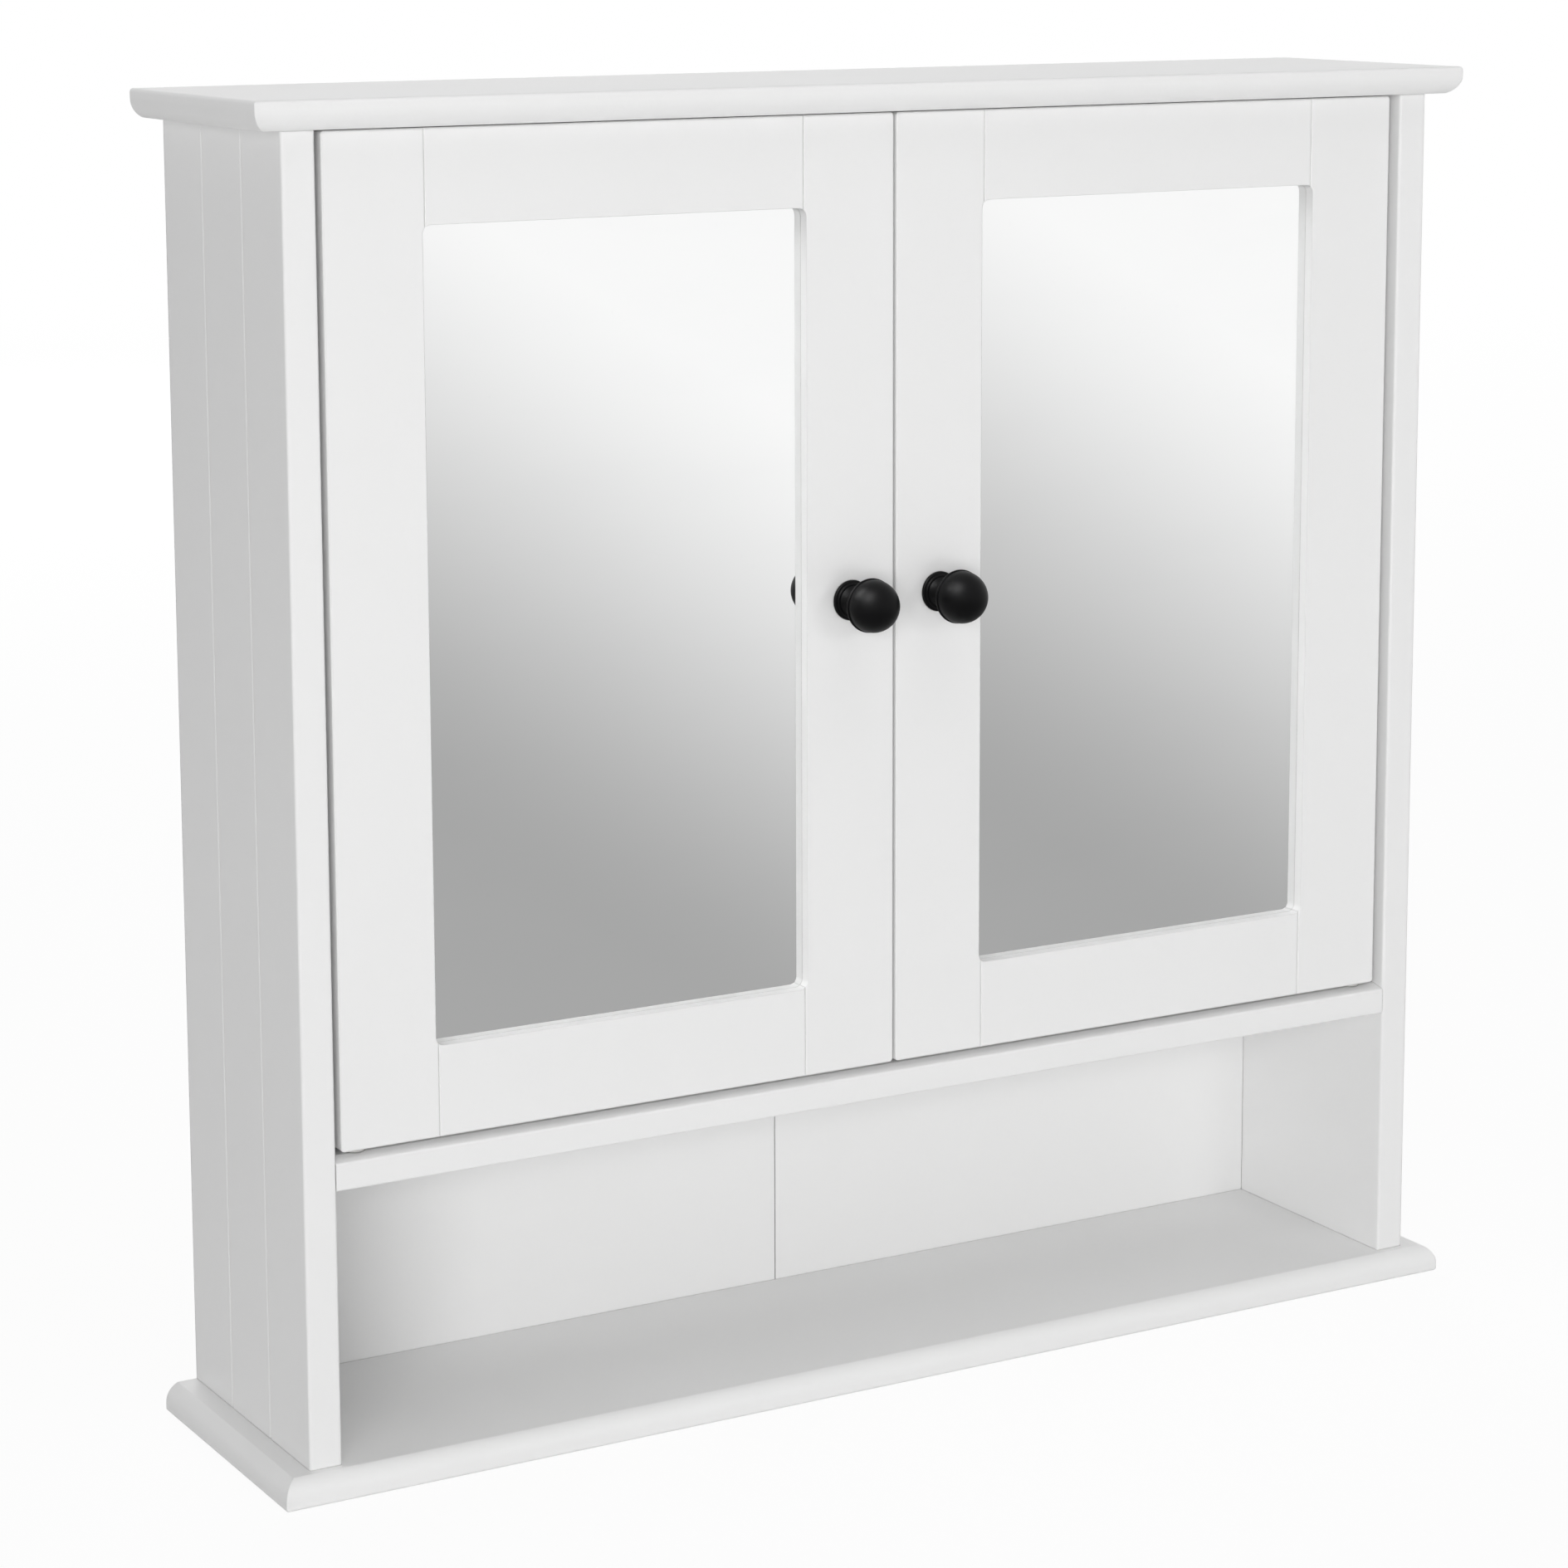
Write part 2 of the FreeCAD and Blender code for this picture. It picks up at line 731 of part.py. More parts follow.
def top_rail():
    return door_rail(z_window_high - window_corner, z_door_top, z_door_top, tenons(0)[1])


def mirror_glass():
    return mirror_box(mirror_play, y_mirror, y_backing)


def mirror_backing():
    return mirror_box(mirror_play, y_backing, y_backing_back)


def mirror_points():
    return group(points_in_frame(0))


def lower_hinge_pin():
    return hinge_pin(z_door_bottom, down, door_bottom_gap, fixed_shelf_thickness)


def upper_hinge_pin():
    return hinge_pin(z_door_top, up, door_top_gap, crown_thickness)


def knob_outline():
    # Corners of the knob's half outline: flange, waisted neck, rim and domed head.
    def spot(r, h):
        return Vector(r, 0, h)

    rim_top = knob_head_height + knob_rim_height
    rim_inner = knob_head_radius - knob_rim_step
    rise = knob_projection - rim_top
    dome_radius = (rim_inner ** 2 + rise ** 2) / (2 * rise)
    neck = Part.Arc(
        spot(knob_root_radius, knob_flange_height),
        spot(knob_neck_radius, knob_neck_height),
        spot(knob_head_radius - knob_rim_ease, knob_head_height),
    ).toShape()
    dome = arc_about(spot(0, knob_projection - dome_radius), spot(rim_inner, rim_top), spot(0, knob_projection))
    flange = [
        spot(knob_flange_radius, 0),
        spot(knob_flange_radius, knob_flange_height - knob_flange_ease),
        spot(knob_flange_radius - knob_flange_ease, knob_flange_height),
    ]
    rim = [spot(knob_head_radius, knob_head_height + knob_rim_ease), spot(knob_head_radius, rim_top)]
    marks = knob_curve_steps + 1
    return flange + neck.discretize(Number=marks) + rim + dome.discretize(Number=marks)


def knob():
    # Turned in flats, so that so small a piece stays light.
    outline = knob_outline()
    turns = [2 * pi * number / knob_sides for number in range(knob_sides)]
    rings = [[Vector(at.x * cos(turn), at.x * sin(turn), at.z) for turn in turns] for at in outline[:-1]]
    faces = [face_in(rings[0])]
    for low, high in zip(rings, rings[1:]):
        faces += [face_in([low[side - 1], low[side], high[side], high[side - 1]]) for side in range(knob_sides)]
    faces += [face_in([rings[-1][side - 1], rings[-1][side], outline[-1]]) for side in range(knob_sides)]
    body = Part.makeSolid(Part.makeShell(faces))
    hole = peg(knob_screw_radius + hole_play, Vector(), up * (knob_screw_seat + end_play))
    return placed(body.cut(hole), Vector(x_knob, y_door_front, z_door_middle), forward, right)


def knob_screw():
    length = door_thickness + knob_screw_seat
    piece = screw(knob_screw_radius, knob_screw_head_radius, knob_screw_head_height, length)
    return placed(piece, Vector(x_knob, y_door_back, z_door_middle), forward, right)


def knob_screw_hole():
    hole = peg(knob_screw_radius + hole_play, Vector(), up * door_thickness)
    return placed(hole, Vector(x_knob, y_door_back, z_door_middle), forward, right)


def strike_screw_place():
    z = z_door_top - strike_drop - strike_height + strike_width / 2
    return Vector(magnet_offset, y_strike_back, z), forward, right


def strike_plate():
    z1 = z_door_top - strike_drop
    z0 = z1 - strike_height
    x0 = magnet_offset - strike_width / 2
    x1 = magnet_offset + strike_width / 2
    plate = box(x0, x1, y_door_back, y_strike_back, z0, z1)
    plate = plate.makeChamfer(strike_corner, corner_edges(plate, (x0, x1), z=(z0, z1)))
    return plate.cut(placed(small_screw_hole(strike_thickness), *strike_screw_place()))


def strike_screw():
    return placed(small_screw(strike_thickness), *strike_screw_place())


right_door = {
    "hinge_stile": hinge_stile(),
    "meeting_stile": meeting_stile(),
    "top_rail": top_rail(),
    "bottom_rail": bottom_rail(),
    "mirror_glass": mirror_glass(),
    "mirror_backing": mirror_backing(),
    "mirror_points": mirror_points(),
    "knob": knob(),
    "knob_screw": knob_screw(),
    "lower_hinge_pin": lower_hinge_pin(),
    "upper_hinge_pin": upper_hinge_pin(),
    "strike_plate": strike_plate(),
    "strike_screw": strike_screw(),
}

pieces = {
    "crown_board": crown_board(),
    "base_board": base_board(),
    "right_side_panel": side_panel(),
    "left_side_panel": mirrored(side_panel()),
    "fixed_shelf": fixed_shelf(),
    "right_back_panel": back_half(),
    "left_back_panel": mirrored(back_half()),
    "hanging_rail": hanging_rail(),
    "loose_shelf": loose_shelf(),
    "shelf_pins": shelf_pins(),
    "wood_dowels": wood_dowels(),
    "crown_cam_bolts": cam_bolts(crown_cam_place),
    "crown_cams": cams(crown_cam_place, side_thickness),
    "shelf_cam_bolts": cam_bolts(shelf_cam_place),
    "shelf_cams": cams(shelf_cam_place, fixed_shelf_thickness),
    "base_screws": base_screws(),
    "lower_hinge_bushes": lower_hinge_bushes(),
    "upper_hinge_bushes": upper_hinge_bushes(),
    "catch_housing": catch_housing(),
    "catch_magnets": catch_magnets(),
    "catch_pole_plates": catch_pole_plates(),
    "catch_screws": catch_screws(),
}
for name, piece in right_door.items():
    pieces["right_" + name] = piece
    pieces["left_" + name] = mirrored(piece)

os.makedirs("parts", exist_ok=True)
for name, piece in pieces.items():
    piece.translated(down * z_wall_screws).exportStep(os.path.join("parts", name + ".step"))
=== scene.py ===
from math import atan2, cos, hypot, pi, radians, sin

import bmesh
import bpy
from mathutils import Matrix, Quaternion, Vector


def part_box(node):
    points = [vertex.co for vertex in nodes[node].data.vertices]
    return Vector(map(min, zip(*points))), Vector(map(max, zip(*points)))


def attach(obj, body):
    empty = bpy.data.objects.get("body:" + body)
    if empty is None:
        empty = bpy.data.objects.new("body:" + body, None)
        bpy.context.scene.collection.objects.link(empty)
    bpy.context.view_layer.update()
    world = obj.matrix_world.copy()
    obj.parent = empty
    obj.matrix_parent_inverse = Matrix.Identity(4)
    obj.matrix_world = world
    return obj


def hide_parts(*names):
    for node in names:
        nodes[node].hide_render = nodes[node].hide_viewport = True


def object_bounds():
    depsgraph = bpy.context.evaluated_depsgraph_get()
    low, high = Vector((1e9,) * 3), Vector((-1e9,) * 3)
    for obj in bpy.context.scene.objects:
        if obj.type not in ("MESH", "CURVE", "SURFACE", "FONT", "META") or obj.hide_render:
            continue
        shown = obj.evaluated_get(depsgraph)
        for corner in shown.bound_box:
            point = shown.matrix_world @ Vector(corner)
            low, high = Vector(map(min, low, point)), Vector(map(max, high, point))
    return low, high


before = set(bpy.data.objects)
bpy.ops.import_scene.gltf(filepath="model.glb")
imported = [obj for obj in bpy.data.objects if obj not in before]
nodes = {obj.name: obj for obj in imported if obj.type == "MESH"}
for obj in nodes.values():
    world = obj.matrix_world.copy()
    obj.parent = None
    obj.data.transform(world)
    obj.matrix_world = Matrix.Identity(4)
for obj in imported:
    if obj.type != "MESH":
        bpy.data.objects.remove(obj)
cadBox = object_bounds()
scene = bpy.context.scene
scene.view_settings.view_transform = "Standard"
print("frame loaded:", len(nodes), "nodes")


class Wire:  # an output socket that takes part in sums, each of which adds a Math node
    def __init__(self, finish, socket):
        self.finish = finish
        self.socket = socket

    def maths(self, operation, *values):
        return self.finish.node("ShaderNodeMath", {"operation": operation}, dict(enumerate(values)))

    def __add__(self, other):
        return self.maths("ADD", self, other)

    def __radd__(self, other):
        return self.maths("ADD", other, self)

    def __sub__(self, other):
        return self.maths("SUBTRACT", self, other)

    def __rsub__(self, other):
        return self.maths("SUBTRACT", other, self)

    def __mul__(self, other):
        return self.maths("MULTIPLY", self, other)

    def __truediv__(self, other):
        return self.maths("DIVIDE", self, other)

    def __rtruediv__(self, other):
        return self.maths("DIVIDE", other, self)

    def __gt__(self, other):
        return self.maths("GREATER_THAN", self, other)

    def atLeast(self, low):
        return self.maths("MAXIMUM", self, low)

    def swing(self, share):  # a noise about its middle
        return (self - 0.5) * share


class Finish:  # the nodes of one material, or of the world
    def __init__(self, holder):
        holder.use_nodes = True
        self.holder = holder
        self.tree = holder.node_tree
        self.tree.nodes.clear()

    def node(self, kind, settings=None, inputs=None, out=0):
        made = self.tree.nodes.new(kind)
        for name, value in (settings or {}).items():
            setattr(made, name, value)
        for name, value in (inputs or {}).items():
            if isinstance(value, Wire):
                self.tree.links.new(value.socket, made.inputs[name])
            else:
                made.inputs[name].default_value = value
        return Wire(self, made.outputs[out]) if made.outputs else None

    def spots(self):  # the part's own frame, in metres
        return self.node("ShaderNodeTexCoord", out="Object")

    def turnedSpots(self):  # place on a turned piece, from its own axis
        return self.node("ShaderNodeAttribute", {"attribute_name": "turned"}, out="Vector")

    def along(self, vector, axis):
        return self.node("ShaderNodeSeparateXYZ", {}, {"Vector": vector}, axis)

    def noise(self, spots, size, detail=2.0, rough=0.5):
        return self.node("ShaderNodeTexNoise", {}, {
            "Vector": spots, "Scale": 1 / size, "Detail": detail, "Roughness": rough,
        })

    def grain(self, spots, sizes, detail=2.0, rough=0.5):  # noise with a size along each axis
        stretched = self.node("ShaderNodeVectorMath", {"operation": "DIVIDE"}, {0: spots, 1: sizes})
        return self.noise(stretched, 1.0, detail, rough)

    def ramp(self, value, stops):
        ramped = self.node("ShaderNodeValToRGB", {}, {"Fac": value})
        for element, (at, level) in zip(ramped.socket.node.color_ramp.elements, stops):
            element.position = at
            element.color = (level, level, level, 1.0)
        return ramped

    def mixed(self, share, first, second):  # colours
        return self.node("ShaderNodeMix", {"data_type": "RGBA"}, {0: share, 6: first, 7: second}, 2)

    def clamped(self, value, low=0.0, high=1.0):
        return self.node("ShaderNodeClamp", {}, {"Value": value, "Min": low, "Max": high})

    def faded(self, value, start, end, startLevel, endLevel):  # smooth step between two levels
        return self.node("ShaderNodeMapRange", {"interpolation_type": "SMOOTHSTEP"}, {
            "Value": value, "From Min": start, "From Max": end, "To Min": startLevel, "To Max": endLevel,
        })

    def bumped(self, height, depth, strength, normal=None):
        inputs = {"Height": height, "Distance": depth, "Strength": strength}
        if normal:
            inputs["Normal"] = normal
        return self.node("ShaderNodeBump", {}, inputs)

    def trueNormal(self):
        return self.node("ShaderNodeNewGeometry", out="True Normal")

    def easedNormal(self, radius):  # sharp corners catch light as if rubbed down
        return self.node("ShaderNodeBevel", {"samples": 4}, {"Radius": radius})

    def edgeMask(self, eased, gain=4):  # 0 on the flats, towards 1 along the corners
        pair = {0: eased, 1: self.trueNormal()}
        likeness = self.node("ShaderNodeVectorMath", {"operation": "DOT_PRODUCT"}, pair, "Value")
        return self.clamped((1 - likeness) * gain)

    def rays(self):  # seen by the camera, in a gloss or through glass, and not after a matt bounce
        camera, glossy, through, bounces = [
            self.node("ShaderNodeLightPath", out=kind)
            for kind in ("Is Camera Ray", "Is Glossy Ray", "Is Transmission Ray", "Diffuse Depth")
        ]
        return camera, glossy, through, self.clamped(1 - bounces)

    def shader(self, inputs):
        return self.node("ShaderNodeBsdfPrincipled", {}, inputs)

    def blend(self, share, first, second):  # shaders
        return self.node("ShaderNodeMixShader", {}, {0: share, 1: first, 2: second})

    def surface(self, shader):
        self.node("ShaderNodeOutputMaterial", {}, {"Surface": shader})
        return self.holder


def newFinish(name):
    return Finish(bpy.data.materials.new(name))


paintLook = {
    "colour": (0.900, 0.900, 0.899, 1), "thin": (0.865, 0.864, 0.858, 1), "shadow": (0.60, 0.60, 0.59, 1),
    "roughness": 0.33, "gloss": 0.45, "bump": 0.5,
    "drift": (0.09, 3.0), "driftThin": 0.35, "driftRough": 0.10,
    "peel": 0.0024, "peelDepth": 0.00006,
    "nap": 0.0007, "napDepth": 0.000012, "napRough": 0.05,
    "dust": (0.0045, 1.0), "dustRamp": ((0.70, 0.0), (0.78, 1.0)), "dustThin": 0.12,
    "ease": 0.0006, "edgeThin": 0.35, "edgeRough": 0.05,
    # painted shade: reach, samples and ramp of the ambient occlusion that darkens joints and inside corners
    "seamShade": 0.0009, "seamShadeSamples": 6, "seamShadeRamp": ((0.50, 1.0), (0.66, 0.0)),
}


def paintInputs(paint, look):  # sprayed satin coat
    spots = paint.spots()
    drift = paint.noise(spots, *look["drift"])
    peel = paint.noise(spots, look["peel"])  # orange peel
    nap = paint.noise(spots, look["nap"])  # fibres of the board that show through the coat
    dust = paint.ramp(paint.noise(spots, *look["dust"]), look["dustRamp"])  # nibs of dust in the coat
    eased = paint.easedNormal(look["ease"])
    edge = paint.edgeMask(eased)  # the coat is thinner on corners
    thin = paint.clamped(drift * look["driftThin"] + edge * look["edgeThin"] + dust * look["dustThin"])
    samples = {"samples": look["seamShadeSamples"]}
    openness = paint.node("ShaderNodeAmbientOcclusion", samples, {"Distance": look["seamShade"]}, "AO")
    seamShade = paint.ramp(openness, look["seamShadeRamp"])  # painted shade: ambient occlusion darkens the coat to a fine line where boards meet and in inside corners
    rough = look["roughness"] + drift.swing(look["driftRough"]) + nap.swing(look["napRough"])
    fibres = paint.bumped(nap, look["napDepth"], look["bump"], eased)
    return {
        # the shadow colour is painted shade, laid on where the occlusion is deep
        "Base Color": paint.mixed(seamShade, paint.mixed(thin, look["colour"], look["thin"]), look["shadow"]),
        "Roughness": rough - edge * look["edgeRough"],
        "Normal": paint.bumped(peel, look["peelDepth"], look["bump"], fibres),
        "Specular IOR Level": look["gloss"],
    }


def satinPaint(name, look):
    paint = newFinish(name)
    return paint.surface(paint.shader(paintInputs(paint, look)))


hardboardLook = {
    "pale": (0.40, 0.27, 0.165, 1), "dark": (0.235, 0.145, 0.080, 1), "roughness": 0.72,
    "fibre": ((0.0012, 0.0012, 0.0075), 4.0, 0.65), "fibreTone": 0.55, "fibreHeight": 0.4,
    "chip": (0.004, 3.0, 0.6), "chipTone": 0.45, "chipRough": 0.14,
    "mesh": 0.0016, "meshBend": 0.6, "meshDetail": 3.0,
    "meshMean": 0.25, "meshTone": 0.18, "meshHeight": 0.6,
    "toneRamp": ((0.30, 0.0), (0.68, 1.0)), "depth": 0.00012, "bump": 0.6,
}


def hardboardInputs(board, look):  # pressed fibres with the print of the wire mesh
    spots = board.spots()
    fibre = board.grain(spots, *look["fibre"])
    chips = board.noise(spots, *look["chip"])
    wires = {
        "Vector": spots, "Scale": pi / 10 / look["mesh"],  # at scale 1 a wave is pi / 10 long
        "Distortion": look["meshBend"], "Detail Scale": look["meshDetail"],
    }
    warp = board.node("ShaderNodeTexWave", {"bands_direction": "X"}, wires, "Fac")
    weft = board.node("ShaderNodeTexWave", {"bands_direction": "Z"}, wires, "Fac")
    weave = warp * weft
    pressed = fibre * look["fibreTone"] + chips * look["chipTone"]
    tone = board.clamped(pressed + (weave - look["meshMean"]) * look["meshTone"])
    height = weave * look["meshHeight"] + fibre * look["fibreHeight"]
    return {
        "Base Color": board.mixed(board.ramp(tone, look["toneRamp"]), look["dark"], look["pale"]),
        "Roughness": look["roughness"] + chips.swing(look["chipRough"]),
        "Normal": board.bumped(height, look["depth"], look["bump"]),
    }


def bareHardboard(name, look):
    board = newFinish(name)
    return board.surface(board.shader(hardboardInputs(board, look)))


def backBoard(name, paint, bare):  # painted to the front, bare fibres to the wall
    board = newFinish(name)
    rear = board.along(board.trueNormal(), "Y") > 0.5
    painted = board.shader(paintInputs(board, paint))
    fibres = board.shader(hardboardInputs(board, bare))
    return board.surface(board.blend(rear, painted, fibres))


mirrorLook = {
    "colour": (0.940, 0.943, 0.941, 1), "hazy": (0.918, 0.922, 0.922, 1), "clear": 0.012, "haze": 0.035,
    "wiped": ((0.10, 0.10, 0.035), 4.0, 0.6), "wipedRamp": ((0.45, 0.0), (0.80, 1.0)), "wipedHaze": 0.6,
    "speck": (0.0028, 1.0), "speckRamp": ((0.74, 0.0), (0.80, 1.0)), "speckHaze": 0.4,
}


def silveredGlass(name, look):
    glass = newFinish(name)
    spots = glass.spots()
    wiped = glass.ramp(glass.grain(spots, *look["wiped"]), look["wipedRamp"])  # wiped sideways
    specks = glass.ramp(glass.noise(spots, *look["speck"]), look["speckRamp"])
    haze = glass.clamped(wiped * look["wipedHaze"] + specks * look["speckHaze"])
    return glass.surface(glass.shader({
        "Base Color": glass.mixed(haze, look["colour"], look["hazy"]), "Metallic": 1.0,
        "Roughness": look["clear"] + haze * (look["haze"] - look["clear"]),
    }))


knobLook = {
    "colour": (0.003, 0.003, 0.0033, 1), "worn": (0.006, 0.006, 0.0066, 1), "gloss": 0.10,
    "roughness": 0.44, "grainRough": 0.12, "wornRough": 0.05,
    "grain": (0.0007, 3.0, 0.6), "depth": 0.000012, "bump": 0.4,
    "rub": (0.006, 2.0), "rubWorn": 0.5, "ease": 0.0003, "edgeWorn": 0.5,
}


def satinBlack(name, look):
    black = newFinish(name)
    spots = black.spots()
    grain = black.noise(spots, *look["grain"])
    rub = black.noise(spots, *look["rub"])
    eased = black.easedNormal(look["ease"])
    worn = black.clamped(rub * look["rubWorn"] + black.edgeMask(eased) * look["edgeWorn"])
    return black.surface(black.shader({
        "Base Color": black.mixed(worn, look["colour"], look["worn"]),
        "Roughness": look["roughness"] + grain.swing(look["grainRough"]) - worn * look["wornRough"],
        "Normal": black.bumped(grain, look["depth"], look["bump"], eased),
        "Specular IOR Level": look["gloss"],
    }))


steelLook = {
    "colour": (0.66, 0.66, 0.65, 1), "dull": (0.50, 0.495, 0.48, 1),
    "roughness": 0.24, "cloudRough": 0.12, "scratchRough": 0.08, "cloud": (0.003, 3.0),
    "scratch": ((0.0002, 0.004, 0.0009), 2.0), "scratchHeight": 0.4,
    "lathe": ((0.02, 0.02, 0.00012), 1.0), "latheHeight": 0.6,
    "depth": 0.000006, "bump": 0.4, "ease": 0.0002,
}


def platedSteel(name, look):
    steel = newFinish(name)
    spots = steel.spots()
    cloud = steel.noise(spots, *look["cloud"])
    scratch = steel.grain(spots, *look["scratch"])
    lathe = steel.grain(steel.turnedSpots(), *look["lathe"])  # tool marks
    height = lathe * look["latheHeight"] + scratch * look["scratchHeight"]
    rough = look["roughness"] + cloud.swing(look["cloudRough"]) + scratch.swing(look["scratchRough"])
    return steel.surface(steel.shader({
        "Base Color": steel.mixed(cloud, look["colour"], look["dull"]), "Metallic": 1.0, "Roughness": rough,
        "Normal": steel.bumped(height, look["depth"], look["bump"], steel.easedNormal(look["ease"])),
    }))


alloyLook = {
    "colour": (0.50, 0.50, 0.515, 1), "dark": (0.36, 0.36, 0.37, 1), "roughness": 0.44, "skinRough": 0.2,
    "skin": (0.0009, 4.0, 0.65), "skinTone": 0.5, "flow": (0.004, 2.0), "flowTone": 0.5,
    "depth": 0.00004, "bump": 0.6, "ease": 0.0003,
}


def castAlloy(name, look):
    alloy = newFinish(name)
    spots = alloy.spots()
    skin = alloy.noise(spots, *look["skin"])  # skin of the casting
    flow = alloy.noise(spots, *look["flow"])
    tone = alloy.clamped(skin * look["skinTone"] + flow * look["flowTone"])
    return alloy.surface(alloy.shader({
        "Base Color": alloy.mixed(tone, look["colour"], look["dark"]), "Metallic": 1.0,
        "Roughness": look["roughness"] + skin.swing(look["skinRough"]),
        "Normal": alloy.bumped(skin, look["depth"], look["bump"], alloy.easedNormal(look["ease"])),
    }))


plasticLook = {
    "colour": (0.80, 0.80, 0.785, 1), "shade": (0.74, 0.74, 0.72, 1), "roughness": 0.42, "sparkRough": 0.15,
    "spark": (0.0005, 2.0), "flow": (0.008, 2.0), "depth": 0.00002, "bump": 0.5, "ease": 0.0005,
}


def mouldedPlastic(name, look):
    plastic = newFinish(name)
    spots = plastic.spots()
    spark = plastic.noise(spots, *look["spark"])  # grain of the mould
    flow = plastic.noise(spots, *look["flow"])
    return plastic.surface(plastic.shader({
        "Base Color": plastic.mixed(flow, look["colour"], look["shade"]),
        "Roughness": look["roughness"] + spark.swing(look["sparkRough"]),
        "Normal": plastic.bumped(spark, look["depth"], look["bump"], plastic.easedNormal(look["ease"])),
    }))


magnetLook = {
    "colour": (0.060, 0.060, 0.064, 1), "pale": (0.105, 0.105, 0.110, 1),
    "roughness": 0.60, "groundRough": 0.2, "grain": (0.0006, 4.0, 0.7), "grainHeight": 0.5,
    "ground": ((0.006, 0.0003, 0.0003), 2.0), "groundHeight": 0.5,
    "depth": 0.00003, "bump": 0.6, "ease": 0.0002,
}


def sinteredMagnet(name, look):
    magnet = newFinish(name)
    spots = magnet.spots()
    grain = magnet.noise(spots, *look["grain"])
    ground = magnet.grain(spots, *look["ground"])
    height = grain * look["grainHeight"] + ground * look["groundHeight"]
    return magnet.surface(magnet.shader({
        "Base Color": magnet.mixed(grain, look["colour"], look["pale"]),
        "Roughness": look["roughness"] + ground.swing(look["groundRough"]),
        "Normal": magnet.bumped(height, look["depth"], look["bump"], magnet.easedNormal(look["ease"])),
    }))


beechLook = {
    "pale": (0.60, 0.42, 0.25, 1), "dark": (0.40, 0.25, 0.13, 1), "roughness": 0.66, "grainRough": 0.2,
    "grain": ((0.0006, 0.0006, 0.014), 4.0, 0.6), "grainRamp": ((0.35, 0.0), (0.70, 1.0)), "grainDark": 0.8,
    "fleck": ((0.0005, 0.0005, 0.0018), 2.0), "fleckRamp": ((0.60, 0.0), (0.70, 1.0)), "fleckDark": 0.4,
    "depth": 0.00005, "bump": 0.6,
}


def bareBeech(name, look):
    beech = newFinish(name)
    spots = beech.turnedSpots()
    grain = beech.grain(spots, *look["grain"])
    streak = beech.ramp(grain, look["grainRamp"])
    fleck = beech.ramp(beech.grain(spots, *look["fleck"]), look["fleckRamp"])
    dark = beech.clamped(streak * look["grainDark"] + fleck * look["fleckDark"])
    return beech.surface(beech.shader({
        "Base Color": beech.mixed(dark, look["pale"], look["dark"]),
        "Roughness": look["roughness"] + grain.swing(look["grainRough"]),
        "Normal": beech.bumped(grain, look["depth"], look["bump"]),
    }))


finishes = {
    "white_paint": satinPaint("satinWhitePaint", paintLook),
    "mirror": silveredGlass("silveredGlass", mirrorLook),
    "hardboard": bareHardboard("bareHardboard", hardboardLook),
    "black_knob": satinBlack("satinBlackKnob", knobLook),
    "plated_steel": platedSteel("platedSteel", steelLook),
    "cam_alloy": castAlloy("camCasting", alloyLook),
    "white_plastic": mouldedPlastic("catchPlastic", plasticLook),
    "magnet": sinteredMagnet("sinteredMagnet", magnetLook),
    "beech": bareBeech("bareBeech", beechLook),
}
backFinish = backBoard("backBoard", paintLook, hardboardLook)
panelFinish = satinPaint("panelPaint", dict(paintLook, ease=0.0012))  # the coat half fills the upright lines
ownFinish = {
    "left_back_panel": backFinish, "right_back_panel": backFinish,
    "left_side_panel": panelFinish, "right_side_panel": panelFinish,
}
for name, node in nodes.items():
    slot = node.data.materials[0].name.split(".")[0]
    node.material_slots[0].link = "OBJECT"
    node.material_slots[0].material = ownFinish.get(name, finishes[slot])
print("finishes set:", len(finishes) + 2)


right, left = Vector((1, 0, 0)), Vector((-1, 0, 0))
up, down = Vector((0, 0, 1)), Vector((0, 0, -1))
forward = Vector((0, -1, 0))


def solidsOf(node):  # lowest and highest corner of each solid in a node
    mesh = bmesh.new()
    mesh.from_mesh(nodes[node].data)
    bmesh.ops.remove_doubles(mesh, verts=mesh.verts, dist=1e-6)
    mesh.verts.ensure_lookup_table()
    seen, boxes = set(), []
    for start in mesh.verts:
        if start.index in seen:
            continue
        seen.add(start.index)
        island, edge = [], [start]
        while edge:
            vert = edge.pop()
            island.append(vert.co.copy())
            for link in vert.link_edges:
                other = link.other_vert(vert)
                if other.index not in seen:
                    seen.add(other.index)
                    edge.append(other)
        lows = Vector([min(spot[axis] for spot in island) for axis in range(3)])
        highs = Vector([max(spot[axis] for spot in island) for axis in range(3)])
        boxes.append((lows, highs))
    mesh.free()
    return boxes


def seatIn(low, high, way):  # frame on the face a piece starts from, its Z along the way; and its length
    middle = (low + high) / 2
    length = abs((high - low).dot(way))
    facing = right if abs(way.x) < 0.5 else up
    tilt = Matrix((facing, way.cross(facing), way)).transposed().to_4x4()
    return Matrix.Translation(middle - way * length / 2) @ tilt, length


def newStock():
    stock = bmesh.new()
    stock.verts.layers.float_vector.new("turned")
    return stock


def addVert(stock, seat, spot):
    vert = stock.verts.new(seat @ spot)
    vert[stock.verts.layers.float_vector["turned"]] = spot
    return vert


